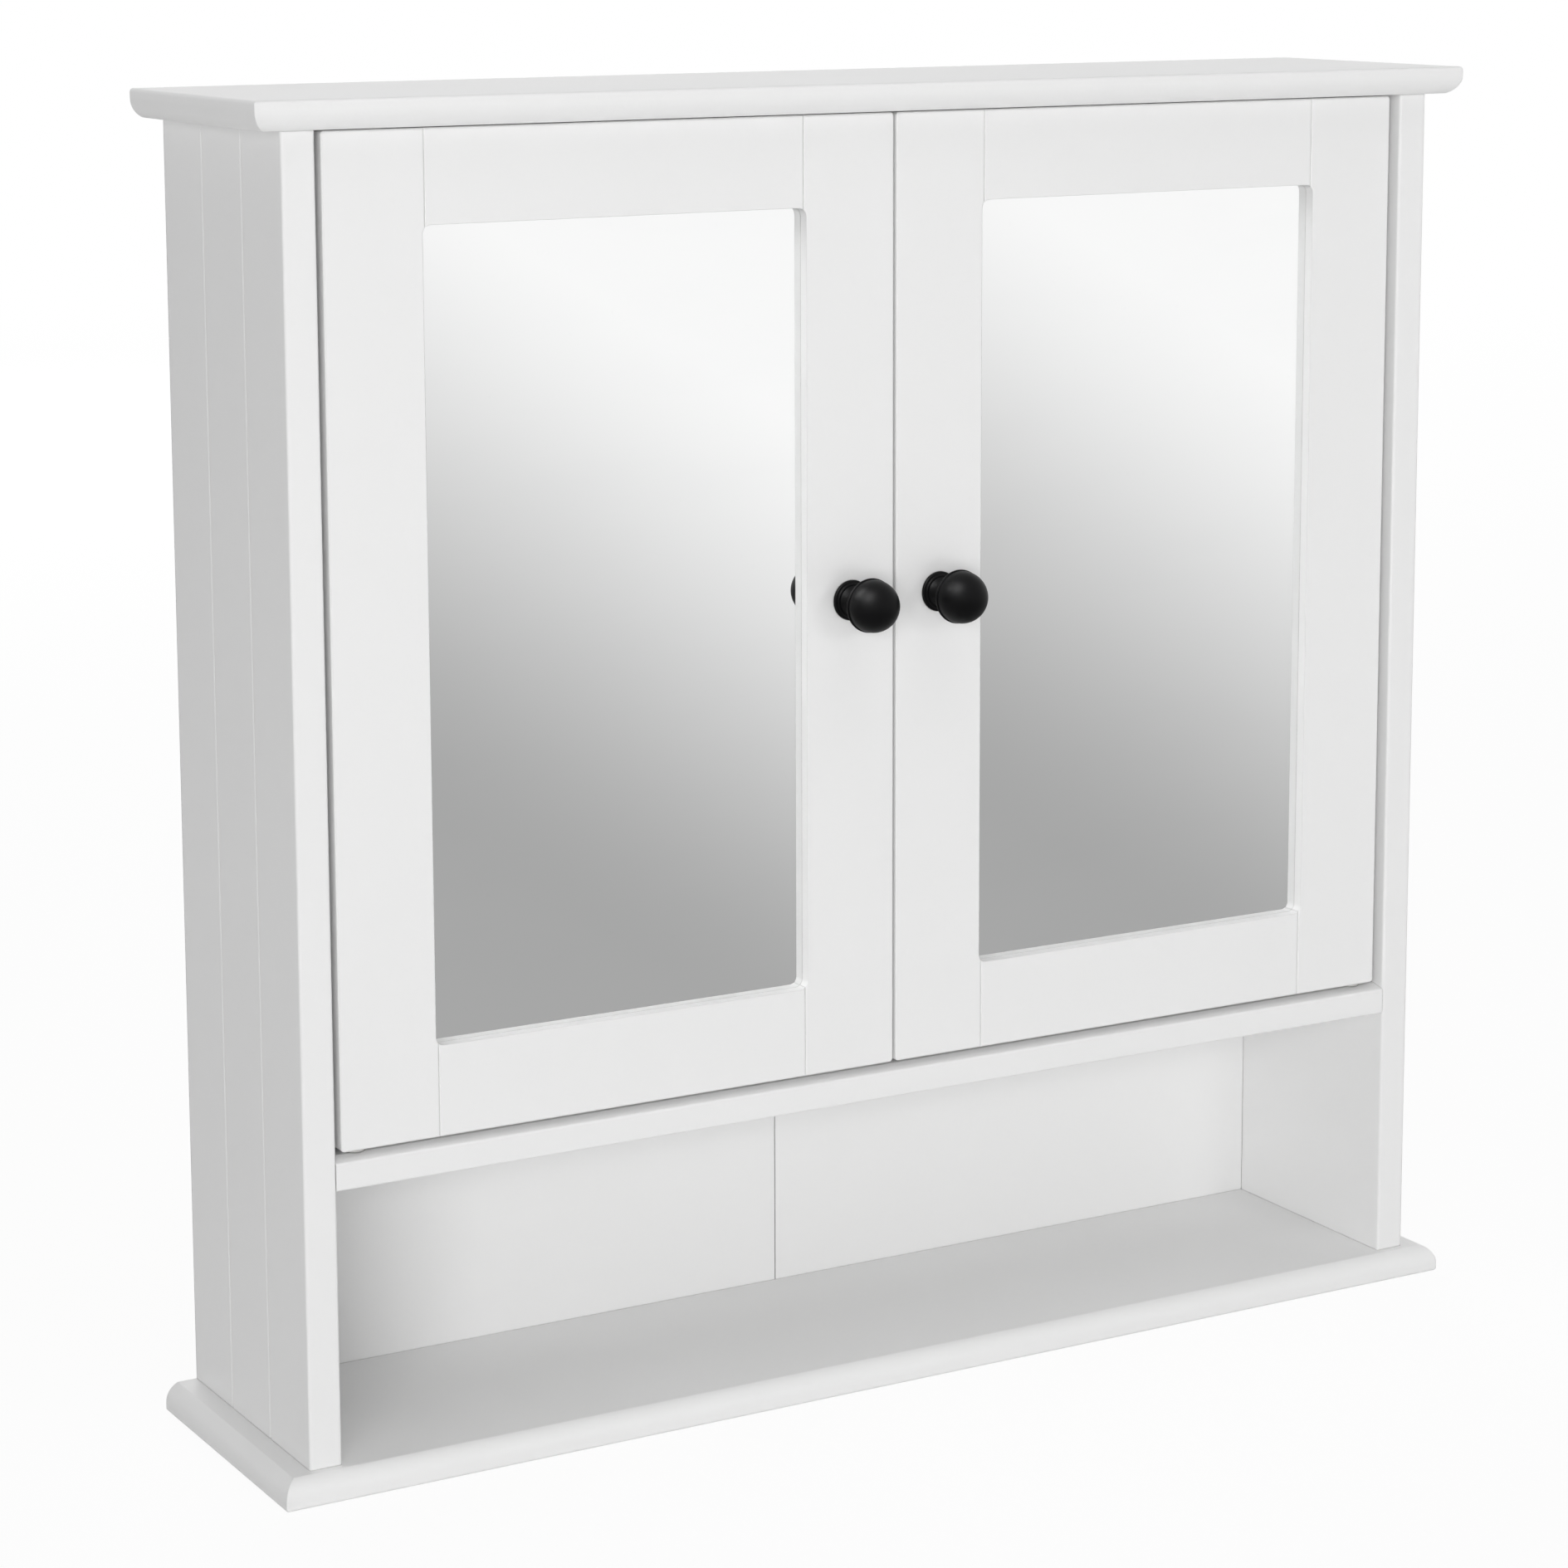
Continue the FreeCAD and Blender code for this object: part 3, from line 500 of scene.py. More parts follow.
def turn(stock, seat, outline, sides, shape=None, closed=False):  # turns an outline of (radius, height)
    rings = []
    for radius, height in outline:
        if radius == 0:
            rings.append([addVert(stock, seat, Vector((0, 0, height)))])
            continue
        ring = []
        for side in range(sides):
            angle = 2 * pi * side / sides
            reach = shape(radius, angle, height) if shape else radius
            ring.append(addVert(stock, seat, Vector((reach * cos(angle), reach * sin(angle), height))))
        rings.append(ring)
    pairs = list(zip(rings, rings[1:])) + ([(rings[-1], rings[0])] if closed else [])
    for low, high in pairs:
        for side in range(sides):
            lows = low if len(low) == 1 else [low[side - 1], low[side]]
            highs = high if len(high) == 1 else [high[side], high[side - 1]]
            stock.faces.new(lows + highs)
    return rings


def inset(radius, height, *places):  # places given inwards from a radius and up from a height
    return [(radius - inward, height + rise) for inward, rise in places]


def bow(start, middle, end, steps):  # arc through three places of an outline
    (ax, ay), (bx, by), (cx, cy) = start, middle, end
    d = 2 * (ax * (by - cy) + bx * (cy - ay) + cx * (ay - by))
    aa, bb, cc = ax * ax + ay * ay, bx * bx + by * by, cx * cx + cy * cy
    ox = (aa * (by - cy) + bb * (cy - ay) + cc * (ay - by)) / d
    oy = (aa * (cx - bx) + bb * (ax - cx) + cc * (bx - ax)) / d
    radius = hypot(ax - ox, ay - oy)
    first, last = atan2(ay - oy, ax - ox), atan2(cy - oy, cx - ox)
    sweep = (last - first + pi) % (2 * pi) - pi
    marks = [first + sweep * step / steps for step in range(steps + 1)]
    return [(ox + radius * cos(mark), oy + radius * sin(mark)) for mark in marks]


def softCorner(before, corner, after, steps=4):  # rounds one corner of an outline between two places
    marks = [step / steps for step in range(steps + 1)]
    return [
        tuple((1 - t) ** 2 * a + 2 * t * (1 - t) * b + t * t * c for a, b, c in zip(before, corner, after))
        for t in marks
    ]


def threadRows(start, end, pitch, radius, perTurn=6):  # rows close enough to carry a thread
    count = max(2, round((end - start) / pitch * perTurn))
    return [(radius, start + (end - start) * row / count) for row in range(count + 1)]


def threadShape(start, end, pitch, depth):  # helical vee between two heights
    def shape(radius, angle, height):
        if not start <= height <= end:
            return radius
        fade = min(1, (height - start) / pitch, (end - height) / pitch)
        wave = abs((height / pitch - angle / (2 * pi)) % 1 * 2 - 1)
        return radius - depth * wave * max(0, fade)
    return shape


def ribShape(start, end, count, depth):  # shallow ribs along a pin, between two heights
    def shape(radius, angle, height):
        return radius - depth * (1 + cos(count * angle)) if start < height <= end else radius
    return shape


def crossRecess(stock, seat, ring, arm, half, depth, taper=0.62):  # driver recess in the flat of a ring
    corners = []
    for quarter in range(4):
        spin = Matrix.Rotation(quarter * pi / 2, 3, "Z")
        corners += [spin @ Vector(spot) for spot in ((arm, -half, 0), (arm, half, 0), (half, half, 0))]
    lips = [addVert(stock, seat, spot) for spot in corners]
    floors = [addVert(stock, seat, Vector((spot.x * taper, spot.y * taper, depth))) for spot in corners]
    edges = [stock.edges.get((ring[side - 1], ring[side])) for side in range(len(ring))]
    edges += [stock.edges.new((lips[side - 1], lips[side])) for side in range(len(lips))]
    bmesh.ops.triangle_fill(stock, use_beauty=True, edges=edges)
    for side in range(len(lips)):
        stock.faces.new([lips[side - 1], lips[side], floors[side], floors[side - 1]])
    stock.faces.new(floors)


def finishPiece(name, stock, body, slot, *replaced):
    bmesh.ops.recalc_face_normals(stock, faces=stock.faces)
    mesh = bpy.data.meshes.new(name)
    stock.to_mesh(mesh)
    stock.free()
    mesh.polygons.foreach_set("use_smooth", [True] * len(mesh.polygons))
    mesh.set_sharp_from_angle(angle=radians(32))
    mesh.materials.append(finishes[slot])
    piece = bpy.data.objects.new(name, mesh)
    scene.collection.objects.link(piece)
    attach(piece, body)
    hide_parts(*replaced)
    return piece


knobForm = {  # edges are given inwards from the radius of their tier, and up
    "flange": 0.0086, "foot": ((0.0004, 0), (0, 0.0003)),
    "flangeEdge": ((0, 0.0009), (0, 0.0015), (0.0006, 0.0016)),
    "step": 0.0074, "stepFoot": (-0.0001, 0.0017), "stepEdge": ((0, 0.0018), (0, 0.0024), (0.0006, 0.0024)),
    "root": (0.0064, 0.0024), "neck": (0.0048, 0.0075), "neckSteps": 20,
    "head": 0.0115, "headHeight": 0.0150, "headRoot": (0.0013, 0),
    "headEdge": ((0.0007, 0.0004), (0, 0.0008), (0, 0.0011)), "headSteps": 5,
    "rimHeight": 0.0018, "rimStep": 0.0005, "rimEdge": ((0, -0.0005), (0, 0), (0.0003, 0)),
    "domeSteps": 18, "sides": 96,
}


def turnedKnob(side):
    form = knobForm
    low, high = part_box(side + "_knob")
    seat, length = seatIn(low, high, forward)
    headRoot = inset(form["head"], form["headHeight"], form["headRoot"])[0]
    rimTop = form["headHeight"] + form["rimHeight"]
    rimInner = form["head"] - form["rimStep"]
    rise = length - rimTop
    dome = (rimInner ** 2 + rise ** 2) / (2 * rise)
    crest = radians(90) - atan2(rimInner, dome - rise) / 2
    brow = (dome * cos(crest), length - dome + dome * sin(crest))
    outline = [(0, 0)] + inset(form["flange"], 0, *form["foot"])
    outline += softCorner(*inset(form["flange"], 0, *form["flangeEdge"]))
    outline += inset(form["step"], 0, form["stepFoot"])
    outline += softCorner(*inset(form["step"], 0, *form["stepEdge"]))
    outline += bow(form["root"], form["neck"], headRoot, form["neckSteps"])
    outline += softCorner(*inset(form["head"], form["headHeight"], *form["headEdge"]), form["headSteps"])
    outline += softCorner(*inset(form["head"], rimTop, *form["rimEdge"]))
    outline += bow((rimInner, rimTop), brow, (0, length), form["domeSteps"])[:-1] + [(0, length)]
    stock = newStock()
    turn(stock, seat, outline, form["sides"])
    finishPiece(side + "_turned_knob", stock, side + "_door", "black_knob", side + "_knob")


for side in ("left", "right"):
    turnedKnob(side)
print("knobs turned")


panHead = {  # shares of the head's radius and rise; brow and lip are in metres
    "flat": 0.62, "brow": 0.0001, "brim": 0.72, "under": 0.97, "steps": 6,
    "arm": 0.5124, "half": 0.13, "deep": 0.70,
}
sunkHead = {"flat": 0.93, "lip": (0.00015, 0.0005), "arm": 0.4786, "half": 0.12, "deep": 0.80}
screwForms = {  # blunt and taper are shares of the radius
    "machine": {
        "top": panHead, "head": 0.0040, "rise": 0.0022, "neck": 0.0010, "radius": 0.0020,
        "pitch": 0.0011, "cut": 0.0004, "taper": 0.2, "blunt": 0.9,
    },
    "wood": {
        "top": panHead, "head": 0.0030, "rise": 0.0018, "neck": 0.0012, "radius": 0.0015,
        "pitch": 0.0011, "cut": 0.0004, "taper": 1.6, "blunt": 0,
    },
    "board": {
        "top": sunkHead, "head": 0.0040, "rise": 0.0025, "neck": 0.0012, "radius": 0.0020,
        "pitch": 0.0016, "cut": 0.0005, "taper": 1.6, "blunt": 0,
    },
}


def screwOn(stock, seat, length, form, sides=32):
    top, head, rise, radius = form["top"], form["head"], form["rise"], form["radius"]
    flat = head * top["flat"]
    start, end = rise + form["neck"], length - radius * form["taper"]
    outline = [(flat, 0)]
    if top is sunkHead:
        outline += [(head, height) for height in top["lip"]]
    else:
        outline += softCorner((flat, 0), (head, top["brow"]), (head, rise * top["brim"]), top["steps"])[1:]
        outline += [(head * top["under"], rise)]
    outline += [(radius, rise)] + threadRows(start, end, form["pitch"], radius)
    if form["blunt"]:
        outline += [(radius * form["blunt"], length)]
    outline += [(0, length)]
    rings = turn(stock, seat, outline, sides, threadShape(start, end, form["pitch"], form["cut"]))
    crossRecess(stock, seat, rings[0], head * top["arm"], head * top["half"], rise * top["deep"])


def screws(name, body, node, boxes, way, form):
    stock = newStock()
    for low, high in boxes:
        seat, length = seatIn(low, high, way)
        screwOn(stock, seat, length, screwForms[form])
    finishPiece(name, stock, body, "plated_steel", node)


for side in ("left", "right"):
    door, knobScrew, strikeScrew = side + "_door", side + "_knob_screw", side + "_strike_screw"
    screws(side + "_knob_machine_screw", door, knobScrew, [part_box(knobScrew)], forward, "machine")
    screws(side + "_strike_wood_screw", door, strikeScrew, [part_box(strikeScrew)], forward, "wood")
screws("catch_wood_screws", "cabinet", "catch_screws", solidsOf("catch_screws"), up, "wood")
screws("base_board_screws", "cabinet", "base_screws", solidsOf("base_screws"), up, "board")
print("screws cut")


bushForm = {
    "bore": 0.00205, "mouth": 0.0003, "sleeve": 0.0033, "lead": 0.0004, "leadLength": 0.0005,
    "flange": 0.00475, "round": 0.0004, "waist": 0.0003, "lowerSides": 64, "upperSides": 48,
}


def lowerBushes():  # a ring in two tiers on the shelf, over a sleeve in it
    form = bushForm
    bore, sleeve, edge, ease = form["bore"], form["sleeve"], form["flange"], form["round"]
    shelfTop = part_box("fixed_shelf")[1].z
    stock = newStock()
    for low, high in solidsOf("lower_hinge_bushes"):
        seat, length = seatIn(low, high, up)
        step = shelfTop - low.z
        waist = (step + length) / 2
        outline = [(bore, 0), (sleeve - form["lead"], 0), (sleeve, form["leadLength"]), (sleeve, step)]
        outline += softCorner((edge - ease, step), (edge, step), (edge, step + ease))
        outline += softCorner((edge, waist - ease), (edge - form["waist"], waist), (edge, waist + ease))
        outline += softCorner((edge, length - ease), (edge, length), (edge - ease, length))
        outline += [(bore + form["mouth"], length), (bore, length - form["mouth"])]
        turn(stock, seat, outline, form["lowerSides"], closed=True)
    finishPiece("lower_pivot_bushes", stock, "cabinet", "plated_steel", "lower_hinge_bushes")


def upperBushes():
    form = bushForm
    bore, sleeve = form["bore"], form["sleeve"]
    stock = newStock()
    for low, high in solidsOf("upper_hinge_bushes"):
        seat, length = seatIn(low, high, up)
        outline = [(bore + form["mouth"], 0), (sleeve, 0), (sleeve, length - form["leadLength"])]
        outline += [(sleeve - form["lead"], length), (bore, length), (bore, form["mouth"])]
        turn(stock, seat, outline, form["upperSides"], closed=True)
    finishPiece("upper_pivot_bushes", stock, "cabinet", "plated_steel", "upper_hinge_bushes")


hingePinForm = {
    "driven": 0.016, "lead": ((0.0004, 0), (0, 0.0006)), "shoulder": ((0, 0), (0.0001, 0.0005)),
    "nose": ((0.00005, -0.0008), (0.00005, -0.0007)), "cheek": 0.72, "cheekDrop": 0.0002, "noseSteps": 5,
    "ribs": 12, "ribFrom": 0.0008, "ribDepth": 0.00008, "sides": 72,
}


def hingePin(side, end, way):  # ribbed where it is driven into the door, smooth in the bush
    form = hingePinForm
    low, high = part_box(f"{side}_{end}_hinge_pin")
    seat, length = seatIn(low, high, way)
    radius = (high.x - low.x) / 2
    shank, nose = inset(radius, length, *form["nose"])
    cheek = (radius * form["cheek"], length - form["cheekDrop"])
    outline = [(0, 0)] + inset(radius, 0, *form["lead"]) + inset(radius, form["driven"], *form["shoulder"])
    outline += [shank] + bow(nose, cheek, (0, length), form["noseSteps"])[1:-1] + [(0, length)]
    stock = newStock()
    ribs = ribShape(form["ribFrom"], form["driven"], form["ribs"], form["ribDepth"])
    turn(stock, seat, outline, form["sides"], ribs)
    finishPiece(f"{side}_{end}_pivot_pin", stock, side + "_door", "plated_steel", f"{side}_{end}_hinge_pin")


lowerBushes()
upperBushes()
for side in ("left", "right"):
    hingePin(side, "lower", down)
    hingePin(side, "upper", up)
print("pin hinges turned")


shelfPinForm = {
    "radius": 0.0025, "inPanel": 0.0070, "lead": ((0.0006, 0), (0, 0.0008)),
    "groove": ((0, -0.0010), (0.0003, -0.0006), (0.0003, 0), (0, 0.0004)),
    "nose": ((0, -0.0010), (0, 0), (0.0010, 0)), "noseSteps": 5, "sides": 40,
}


def shelfPins():  # turned pins, with a groove at the face of the side panel
    form = shelfPinForm
    radius = form["radius"]
    stock = newStock()
    for low, high in solidsOf("shelf_pins"):
        seat, length = seatIn(low, high, left if low.x > 0 else right)
        outline = [(0, 0)] + inset(radius, 0, *form["lead"])
        outline += inset(radius, length - form["inPanel"], *form["groove"])
        outline += softCorner(*inset(radius, length, *form["nose"]), form["noseSteps"]) + [(0, length)]
        turn(stock, seat, outline, form["sides"])
    finishPiece("shelf_support_pins", stock, "cabinet", "plated_steel", "shelf_pins")


dowelForm = {
    "radius": 0.0030, "ends": 0.0012, "slope": 0.8, "flutes": 20, "fluteDepth": 0.00010, "sides": 100,
}


def woodDowels():
    form = dowelForm
    radius, ends = form["radius"], form["ends"]
    tip = radius - ends * form["slope"]
    stock = newStock()
    for low, high in solidsOf("wood_dowels"):
        size = high - low
        seat, length = seatIn(low, high, up if size.z > size.x else right)
        outline = [(0, 0), (tip, 0), (radius, ends), (radius, length - ends), (tip, length), (0, length)]
        flutes = ribShape(-ends, length, form["flutes"], form["fluteDepth"])  # from end to end
        turn(stock, seat, outline, form["sides"], flutes)
    finishPiece("fluted_dowels", stock, "cabinet", "beech", "wood_dowels")


camForm = {
    "radius": 0.0065, "wall": 0.0011, "plate": 0.0022, "floor": 0.0014,
    "open": 62, "tighten": 0.0012, "steps": 40,
    "flat": 0.90, "plateRim": (0, 0.0004), "plateEdge": ((0, -0.0002), (0.0003, 0)),
    "floorEdge": ((0.0002, 0), (0, 0.0003)), "floorRim": (0.0003, 0),
    "arm": 0.0037, "half": 0.0009, "deep": 0.8, "sides": 64,
}


def camWall(stock, seat, z0, z1, form):  # curved track that draws the bolt in, open towards the joint
    first, last = radians(form["open"]), radians(360 - form["open"])
    rows = []
    for step in range(form["steps"] + 1):
        share = step / form["steps"]
        angle = first + (last - first) * share
        inner = form["radius"] - form["wall"] - form["tighten"] * share  # tightens along the turn
        spots = [(form["radius"], z0), (form["radius"], z1), (inner, z1), (inner, z0)]
        rows.append([
            addVert(stock, seat, Vector((reach * cos(angle), reach * sin(angle), z))) for reach, z in spots
        ])
    for low, high in zip(rows, rows[1:]):
        for side in range(4):
            stock.faces.new([low[side - 1], low[side], high[side], high[side - 1]])
    stock.faces.new(rows[0])
    stock.faces.new(rows[-1])


def cams(node, name, wayOf, towards):
    form = camForm
    radius, plate = form["radius"], form["plate"]
    stock = newStock()
    for low, high in solidsOf(node):
        seat, length = seatIn(low, high, wayOf(low))
        local = seat.to_3x3().inverted() @ towards(low)
        seat = seat @ Matrix.Rotation(atan2(local.y, local.x), 4, "Z")
        floor = length - form["floor"]
        outline = [(radius * form["flat"], 0)] + inset(radius, 0, form["plateRim"])
        outline += inset(radius, plate, *form["plateEdge"]) + [(0, plate)]
        rings = turn(stock, seat, outline, form["sides"])
        crossRecess(stock, seat, rings[0], form["arm"], form["half"], plate * form["deep"])
        camWall(stock, seat, plate, floor, form)
        outline = [(0, floor)] + inset(radius, floor, *form["floorEdge"])
        outline += inset(radius, length, form["floorRim"]) + [(0, length)]
        turn(stock, seat, outline, form["sides"])
    finishPiece(name, stock, "cabinet", "cam_alloy", node)


boltForm = {
    "flat": 0.0012, "crown": ((0.0016, 0), (0.0028, 0.0002), (0.0028, 0.0014)),
    "chin": ((0.0028, 0.0042), (0.0028, 0.0054), (0.0015, 0.0055)), "headSteps": 5,
    "neck": ((0.0015, 0.0070), (0.0018, 0.0075)), "shank": 0.0018, "shankGap": 0.0012, "collarGap": 0.0010,
    "threaded": 0.0085, "radius": 0.0020, "pitch": 0.0014, "cut": 0.0005, "point": 0.0012, "blunt": 0.55,
    "arm": 0.0010, "half": 0.0003, "deep": 0.0010, "sides": 36,
}


def camBolts(node, name, wayOf):  # barrel head for the cam, plain shank, collar and thread
    form = boltForm
    radius, pitch = form["radius"], form["pitch"]
    stock = newStock()
    for low, high in solidsOf(node):
        seat, length = seatIn(low, high, wayOf(low))
        start, end = length - form["threaded"], length - form["point"]
        outline = [(form["flat"], 0)]
        outline += softCorner(*form["crown"], form["headSteps"])
        outline += softCorner(*form["chin"], form["headSteps"]) + list(form["neck"])
        outline += [(form["shank"], start - form["shankGap"]), (radius, start - form["collarGap"])]
        outline += threadRows(start, end, pitch, radius) + [(radius * form["blunt"], length), (0, length)]
        rings = turn(stock, seat, outline, form["sides"], threadShape(start, end, pitch, form["cut"]))
        crossRecess(stock, seat, rings[0], form["arm"], form["half"], form["deep"])
    finishPiece(name, stock, "cabinet", "plated_steel", node)


def upwards(low):
    return up


def outwards(low):
    return right if low.x > 0 else left


shelfPins()
woodDowels()
cams("crown_cams", "crown_cam_discs", outwards, upwards)
cams("shelf_cams", "shelf_cam_discs", upwards, outwards)
camBolts("crown_cam_bolts", "crown_cam_posts", upwards)
camBolts("shelf_cam_bolts", "shelf_cam_posts", outwards)
print("pins, dowels and cams made")


tapeLook = {
    "pale": (0.50, 0.36, 0.22, 1), "dark": (0.40, 0.275, 0.16, 1), "roughness": 0.58,
    "fibre": ((0.0008, 0.0008, 0.005), 4.0, 0.6), "fibreTone": 0.6,
    "cloud": (0.012, 3.0), "cloudTone": 0.4, "cloudRough": 0.16,
    "toneRamp": ((0.32, 0.0), (0.66, 1.0)), "depth": 0.00004, "bump": 0.5,
}
tapeForm = {
    "half": 0.0125, "thick": 0.00016, "margin": 0.0015, "rows": 96, "columns": 10,
    "ragged": 0.0007, "clear": 1.6, "tears": ((1.0, 9.1, 0.0), (0.6, 23.7, 1.3)),  # share, rate and start
    "waver": 0.012, "waverRate": 17.3,
    "wrinkle": 0.00005, "rippleAlong": 41.0, "rippleAcross": 3.0, "puckerRate": 2.6, "puckerStart": 0.4,
}


def kraftPaper(name, look):
    paper = newFinish(name)
    spots = paper.spots()
    fibre = paper.grain(spots, *look["fibre"])
    cloud = paper.noise(spots, *look["cloud"])
    tone = paper.clamped(fibre * look["fibreTone"] + cloud * look["cloudTone"])
    return paper.surface(paper.shader({
        "Base Color": paper.mixed(paper.ramp(tone, look["toneRamp"]), look["dark"], look["pale"]),
        "Roughness": look["roughness"] + cloud.swing(look["cloudRough"]),
        "Normal": paper.bumped(fibre, look["depth"], look["bump"]),
    }))


def tapeSpot(form, across, along, low, high):  # place on the tape, and its lift off the board there
    torn = sum(share * sin(rate * across + start) for share, rate, start in form["tears"])
    torn *= form["ragged"] * (1 - 4 * along * (1 - along))  # full at both ends, none halfway
    clear = form["ragged"] * form["clear"]
    x = form["half"] * across * (1 + form["waver"] * sin(form["waverRate"] * along))
    z = low + clear + (high - low - 2 * clear) * along + torn
    ripple = sin(form["rippleAlong"] * along + form["rippleAcross"] * across)
    pucker = sin(form["puckerRate"] * across + form["puckerStart"])
    return x, z, form["wrinkle"] * (1 + ripple * pucker) * (1 - across ** 4)


def backTape():  # gummed paper that joins the halves of the back, over their seam
    form = tapeForm
    rows, columns = form["rows"], form["columns"]
    low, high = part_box("base_board")[1].z + form["margin"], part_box("hanging_rail")[0].z - form["margin"]
    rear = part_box("left_back_panel")[1].y
    stock = newStock()
    inner, outer = [], []
    for row in range(rows + 1):
        inner.append([])
        outer.append([])
        for column in range(columns + 1):
            x, z, lift = tapeSpot(form, 2 * column / columns - 1, row / rows, low, high)
            inner[-1].append(stock.verts.new((x, rear, z)))
            outer[-1].append(stock.verts.new((x, rear + form["thick"] + lift, z)))
    for row in range(rows):
        for column in range(columns):
            for side in (inner, outer):
                near, far = side[row], side[row + 1]
                stock.faces.new((near[column], near[column + 1], far[column + 1], far[column]))
    ring = [(0, column) for column in range(columns)]
    ring += [(row, columns) for row in range(rows)]
    ring += [(rows, column) for column in range(columns, 0, -1)]
    ring += [(row, 0) for row in range(rows, -1, -1)]
    innerRing, outerRing = [[side[row][column] for row, column in ring] for side in (inner, outer)]
    for corners in zip(innerRing, innerRing[1:], outerRing[1:], outerRing):
        stock.faces.new(corners)
    tape = finishPiece("back_joint_tape", stock, "cabinet", "hardboard")
    tape.data.materials[0] = kraftPaper("kraftPaper", tapeLook)


backTape()
print("back taped")


floorLook = {
    "half": 40.0, "below": 0.0002, "colour": (0.93, 0.93, 0.93, 1), "white": (1, 1, 1, 1),
    "lift": 0.94, "clearFrom": 1.2, "clearTo": 5.0,
    # painted reflection shade: where the grey fan seen by gloss rays lies, and how grey it gets
    "fan": (-0.888, 1.345), "ahead": (0.4976, -0.8674), "height": 0.634, "closest": 0.3,
    "tilt": 0.64, "spread": (-0.09, 0.13), "foldFrom": 0.004, "foldTo": 0.050, "fold": 0.09,
    "brightTo": 0.10, "bright": 1.03, "greyFrom": 0.285, "grey": 0.41,
}


def paintedMirrorShade(paint, spots, look):  # painted shade: only gloss rays see this glowing grey fan on the floor, darker close to the cabinet, so the mirrors show a painted grey-to-white reflection
    fromX, fromY = paint.along(spots, "X") - look["fan"][0], paint.along(spots, "Y") - look["fan"][1]
    aheadX, aheadY = look["ahead"]
    ahead = (fromX * aheadX + fromY * aheadY).atLeast(look["closest"])
    aside = paint.clamped((fromY * aheadX - fromX * aheadY) / ahead, *look["spread"])
    fold = paint.faded(aside, look["foldFrom"], look["foldTo"], 0.0, look["fold"])
    nearness = look["height"] / ahead - aside * look["tilt"] + fold
    tone = paint.faded(nearness, look["brightTo"], look["greyFrom"], look["bright"], look["grey"])
    level = paint.clamped(tone, look["grey"])
    return paint.node("ShaderNodeCombineColor", {}, {0: level, 1: level, 2: level})


def paleFloor(look):
    half, z = look["half"], cadBox[0].z - look["below"]
    corners = [(-half, -half, z), (half, -half, z), (half, half, z), (-half, half, z)]
    mesh = bpy.data.meshes.new("paleFloor")
    mesh.from_pydata(corners, [], [(0, 1, 2, 3)])
    floor = bpy.data.objects.new("paleFloor", mesh)
    scene.collection.objects.link(floor)
    paint = newFinish("paleFloor")
    spots = paint.spots()
    camera, glossy, through, direct = paint.rays()
    away = paint.node("ShaderNodeVectorMath", {"operation": "LENGTH"}, {0: spots}, "Value")
    clear = paint.faded(away, look["clearFrom"], look["clearTo"], look["lift"], 1.0)
    # painted reflection: gloss rays see the grey fan, the other rays plain white
    seen = paint.mixed(glossy, look["white"], paintedMirrorShade(paint, spots, look))
    glow = paint.node("ShaderNodeEmission", {}, {"Color": seen})
    matt = paint.node("ShaderNodeBsdfDiffuse", {}, {"Color": look["colour"]})
    share = paint.clamped(camera * clear + (through * clear + glossy) * direct)
    mesh.materials.append(paint.surface(paint.blend(share, matt, glow)))


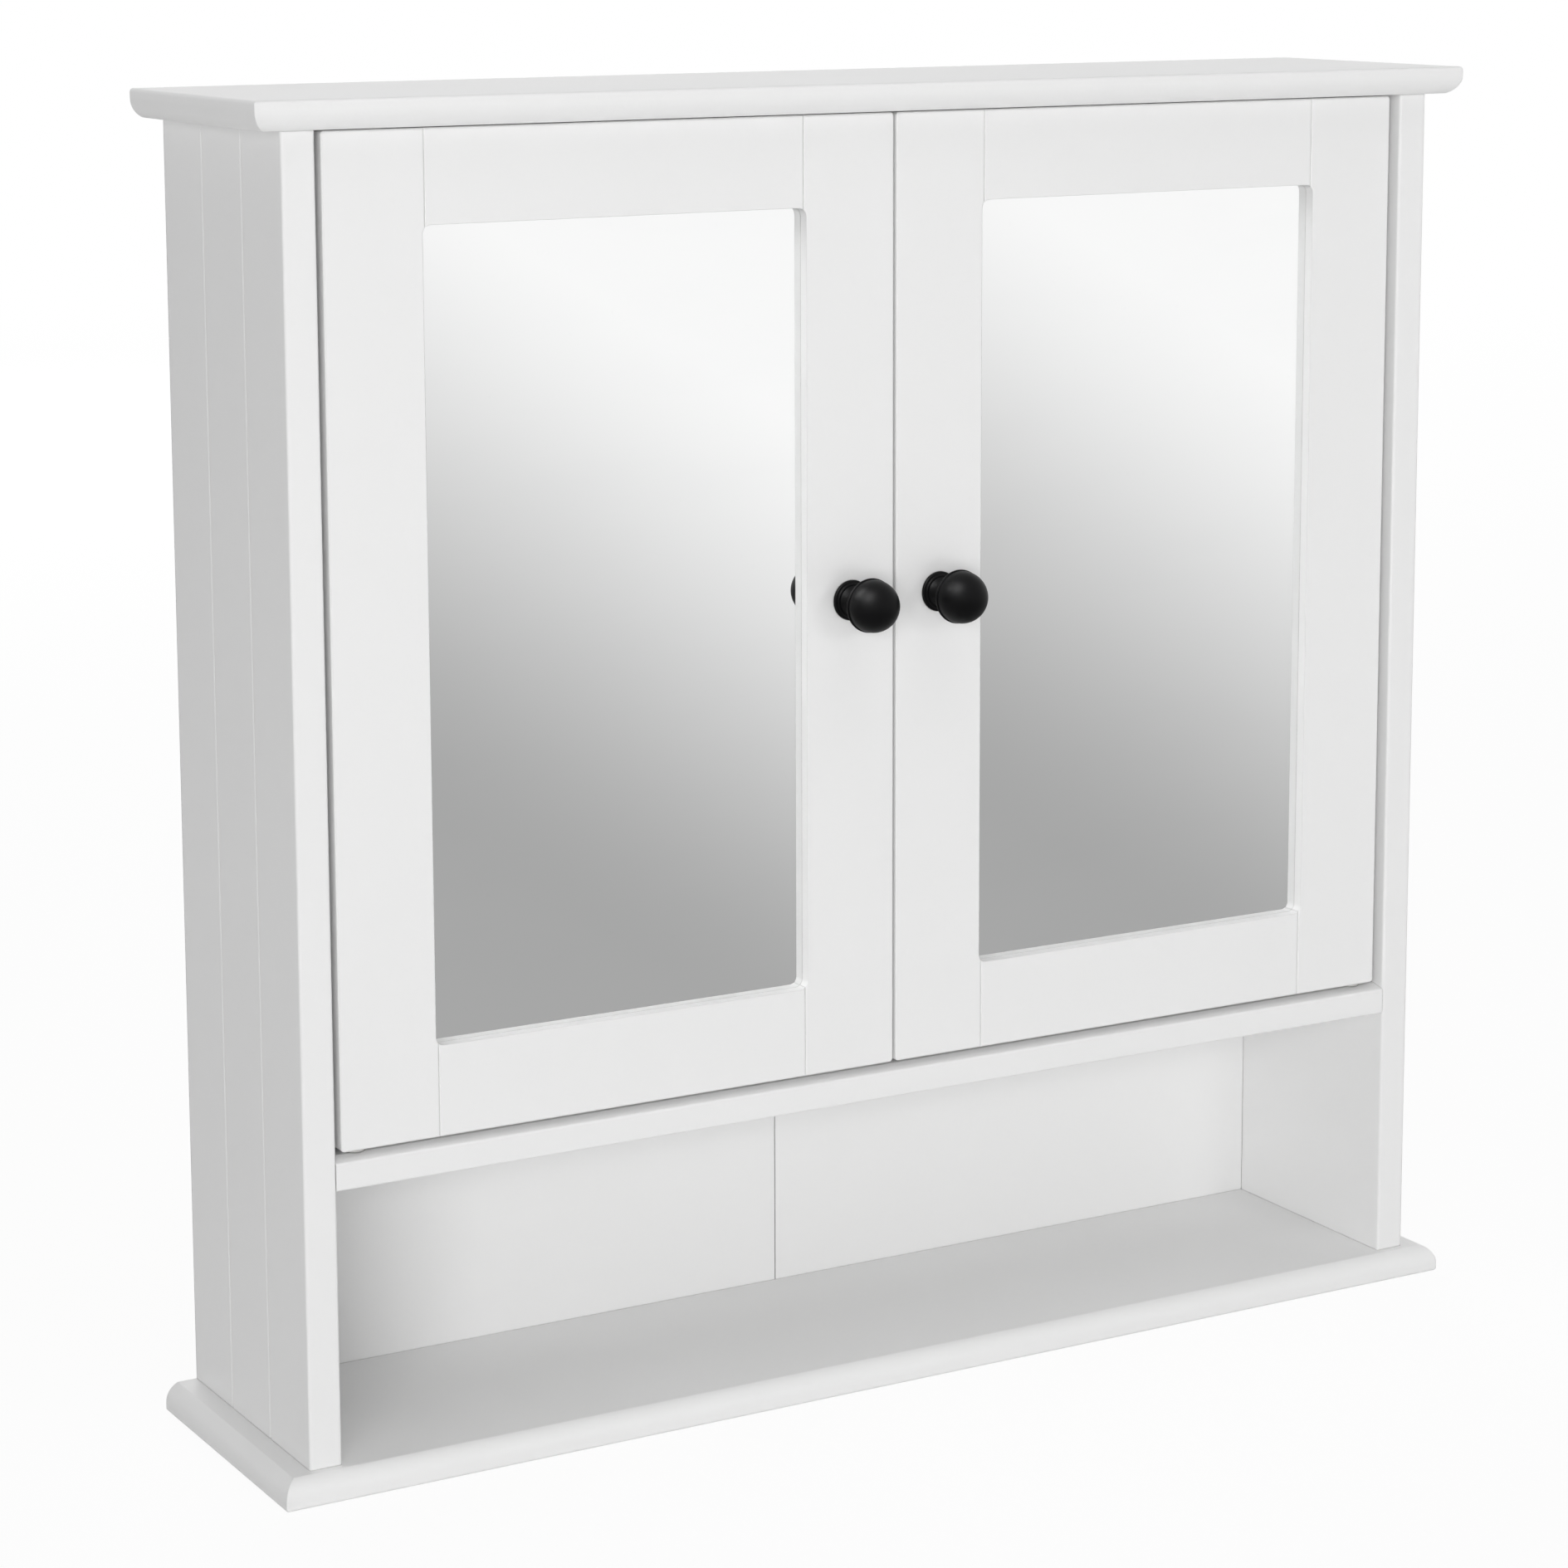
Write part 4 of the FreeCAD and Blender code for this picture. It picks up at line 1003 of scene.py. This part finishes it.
lightLook = {
    "colour": (1, 1, 1, 1), "fill": 0.25,
    "lamps": {
        "left": {"at": (-3.019, -4.215, 0.40), "size": 2.2, "power": 122.0, "rays": "diffuse"},
        "right": {"at": (0.65, -2.50, 0.43), "size": 0.4, "power": 4.8, "rays": "diffuse"},
        "low": {"at": (-0.10, -1.30, -0.47), "size": 0.5, "power": 1.5, "rays": "diffuse"},
        "top": {"at": (0.10, -0.60, 2.10), "size": 1.6, "power": 12.5, "rays": "diffuse"},
        "rear": {"at": (0.90, 3.60, 1.00), "size": 2.2, "power": 70.0, "rays": "diffuse"},
        "glint": {"at": (-1.39, -0.88, 1.545), "size": 1.5, "power": 85.0, "rays": "glossy"},
    },
}


def studioLight(look):
    sky = Finish(bpy.data.worlds.new("studio"))
    scene.world = sky.holder
    camera, glossy, through, direct = sky.rays()  # of the sky, only the fill lights the object
    strength = look["fill"] + sky.clamped(camera + (glossy + through) * direct) * (1 - look["fill"])
    shade = sky.node("ShaderNodeBackground", {}, {"Color": look["colour"], "Strength": strength})
    sky.node("ShaderNodeOutputWorld", {}, {"Surface": shade})
    aim = (cadBox[0] + cadBox[1]) / 2
    for name, made in look["lamps"].items():
        lamp = bpy.data.lights.new(name, "AREA")
        lamp.shape = "SQUARE"
        lamp.size = made["size"]
        lamp.energy = made["power"]
        holder = bpy.data.objects.new(name, lamp)
        holder.location = made["at"]
        holder.visible_diffuse = made["rays"] == "diffuse"
        holder.visible_glossy = made["rays"] == "glossy"
        holder.rotation_euler = (aim - holder.location).to_track_quat("-Z", "Y").to_euler()
        scene.collection.objects.link(holder)


cameraLook = {
    "at": (-0.88792, -1.57276, 0.11558), "way": (0.49144, 0.85678, -0.15627), "roll": -0.18,
    "sensor": 36.0, "lens": 93.90, "shift": -0.15,
}


def photoCamera(look):
    data = bpy.data.cameras.new("photoCamera")
    data.sensor_width = look["sensor"]
    data.lens = look["lens"]
    data.shift_y = look["shift"]
    camera = bpy.data.objects.new("photoCamera", data)
    camera.location = look["at"]
    level = Vector(look["way"]).to_track_quat("-Z", "Y")
    camera.rotation_euler = (level @ Quaternion((0, 0, 1), radians(look["roll"]))).to_euler()
    scene.collection.objects.link(camera)
    scene.camera = camera


paleFloor(floorLook)
studioLight(lightLook)
photoCamera(cameraLook)
print("stage, light and camera set")
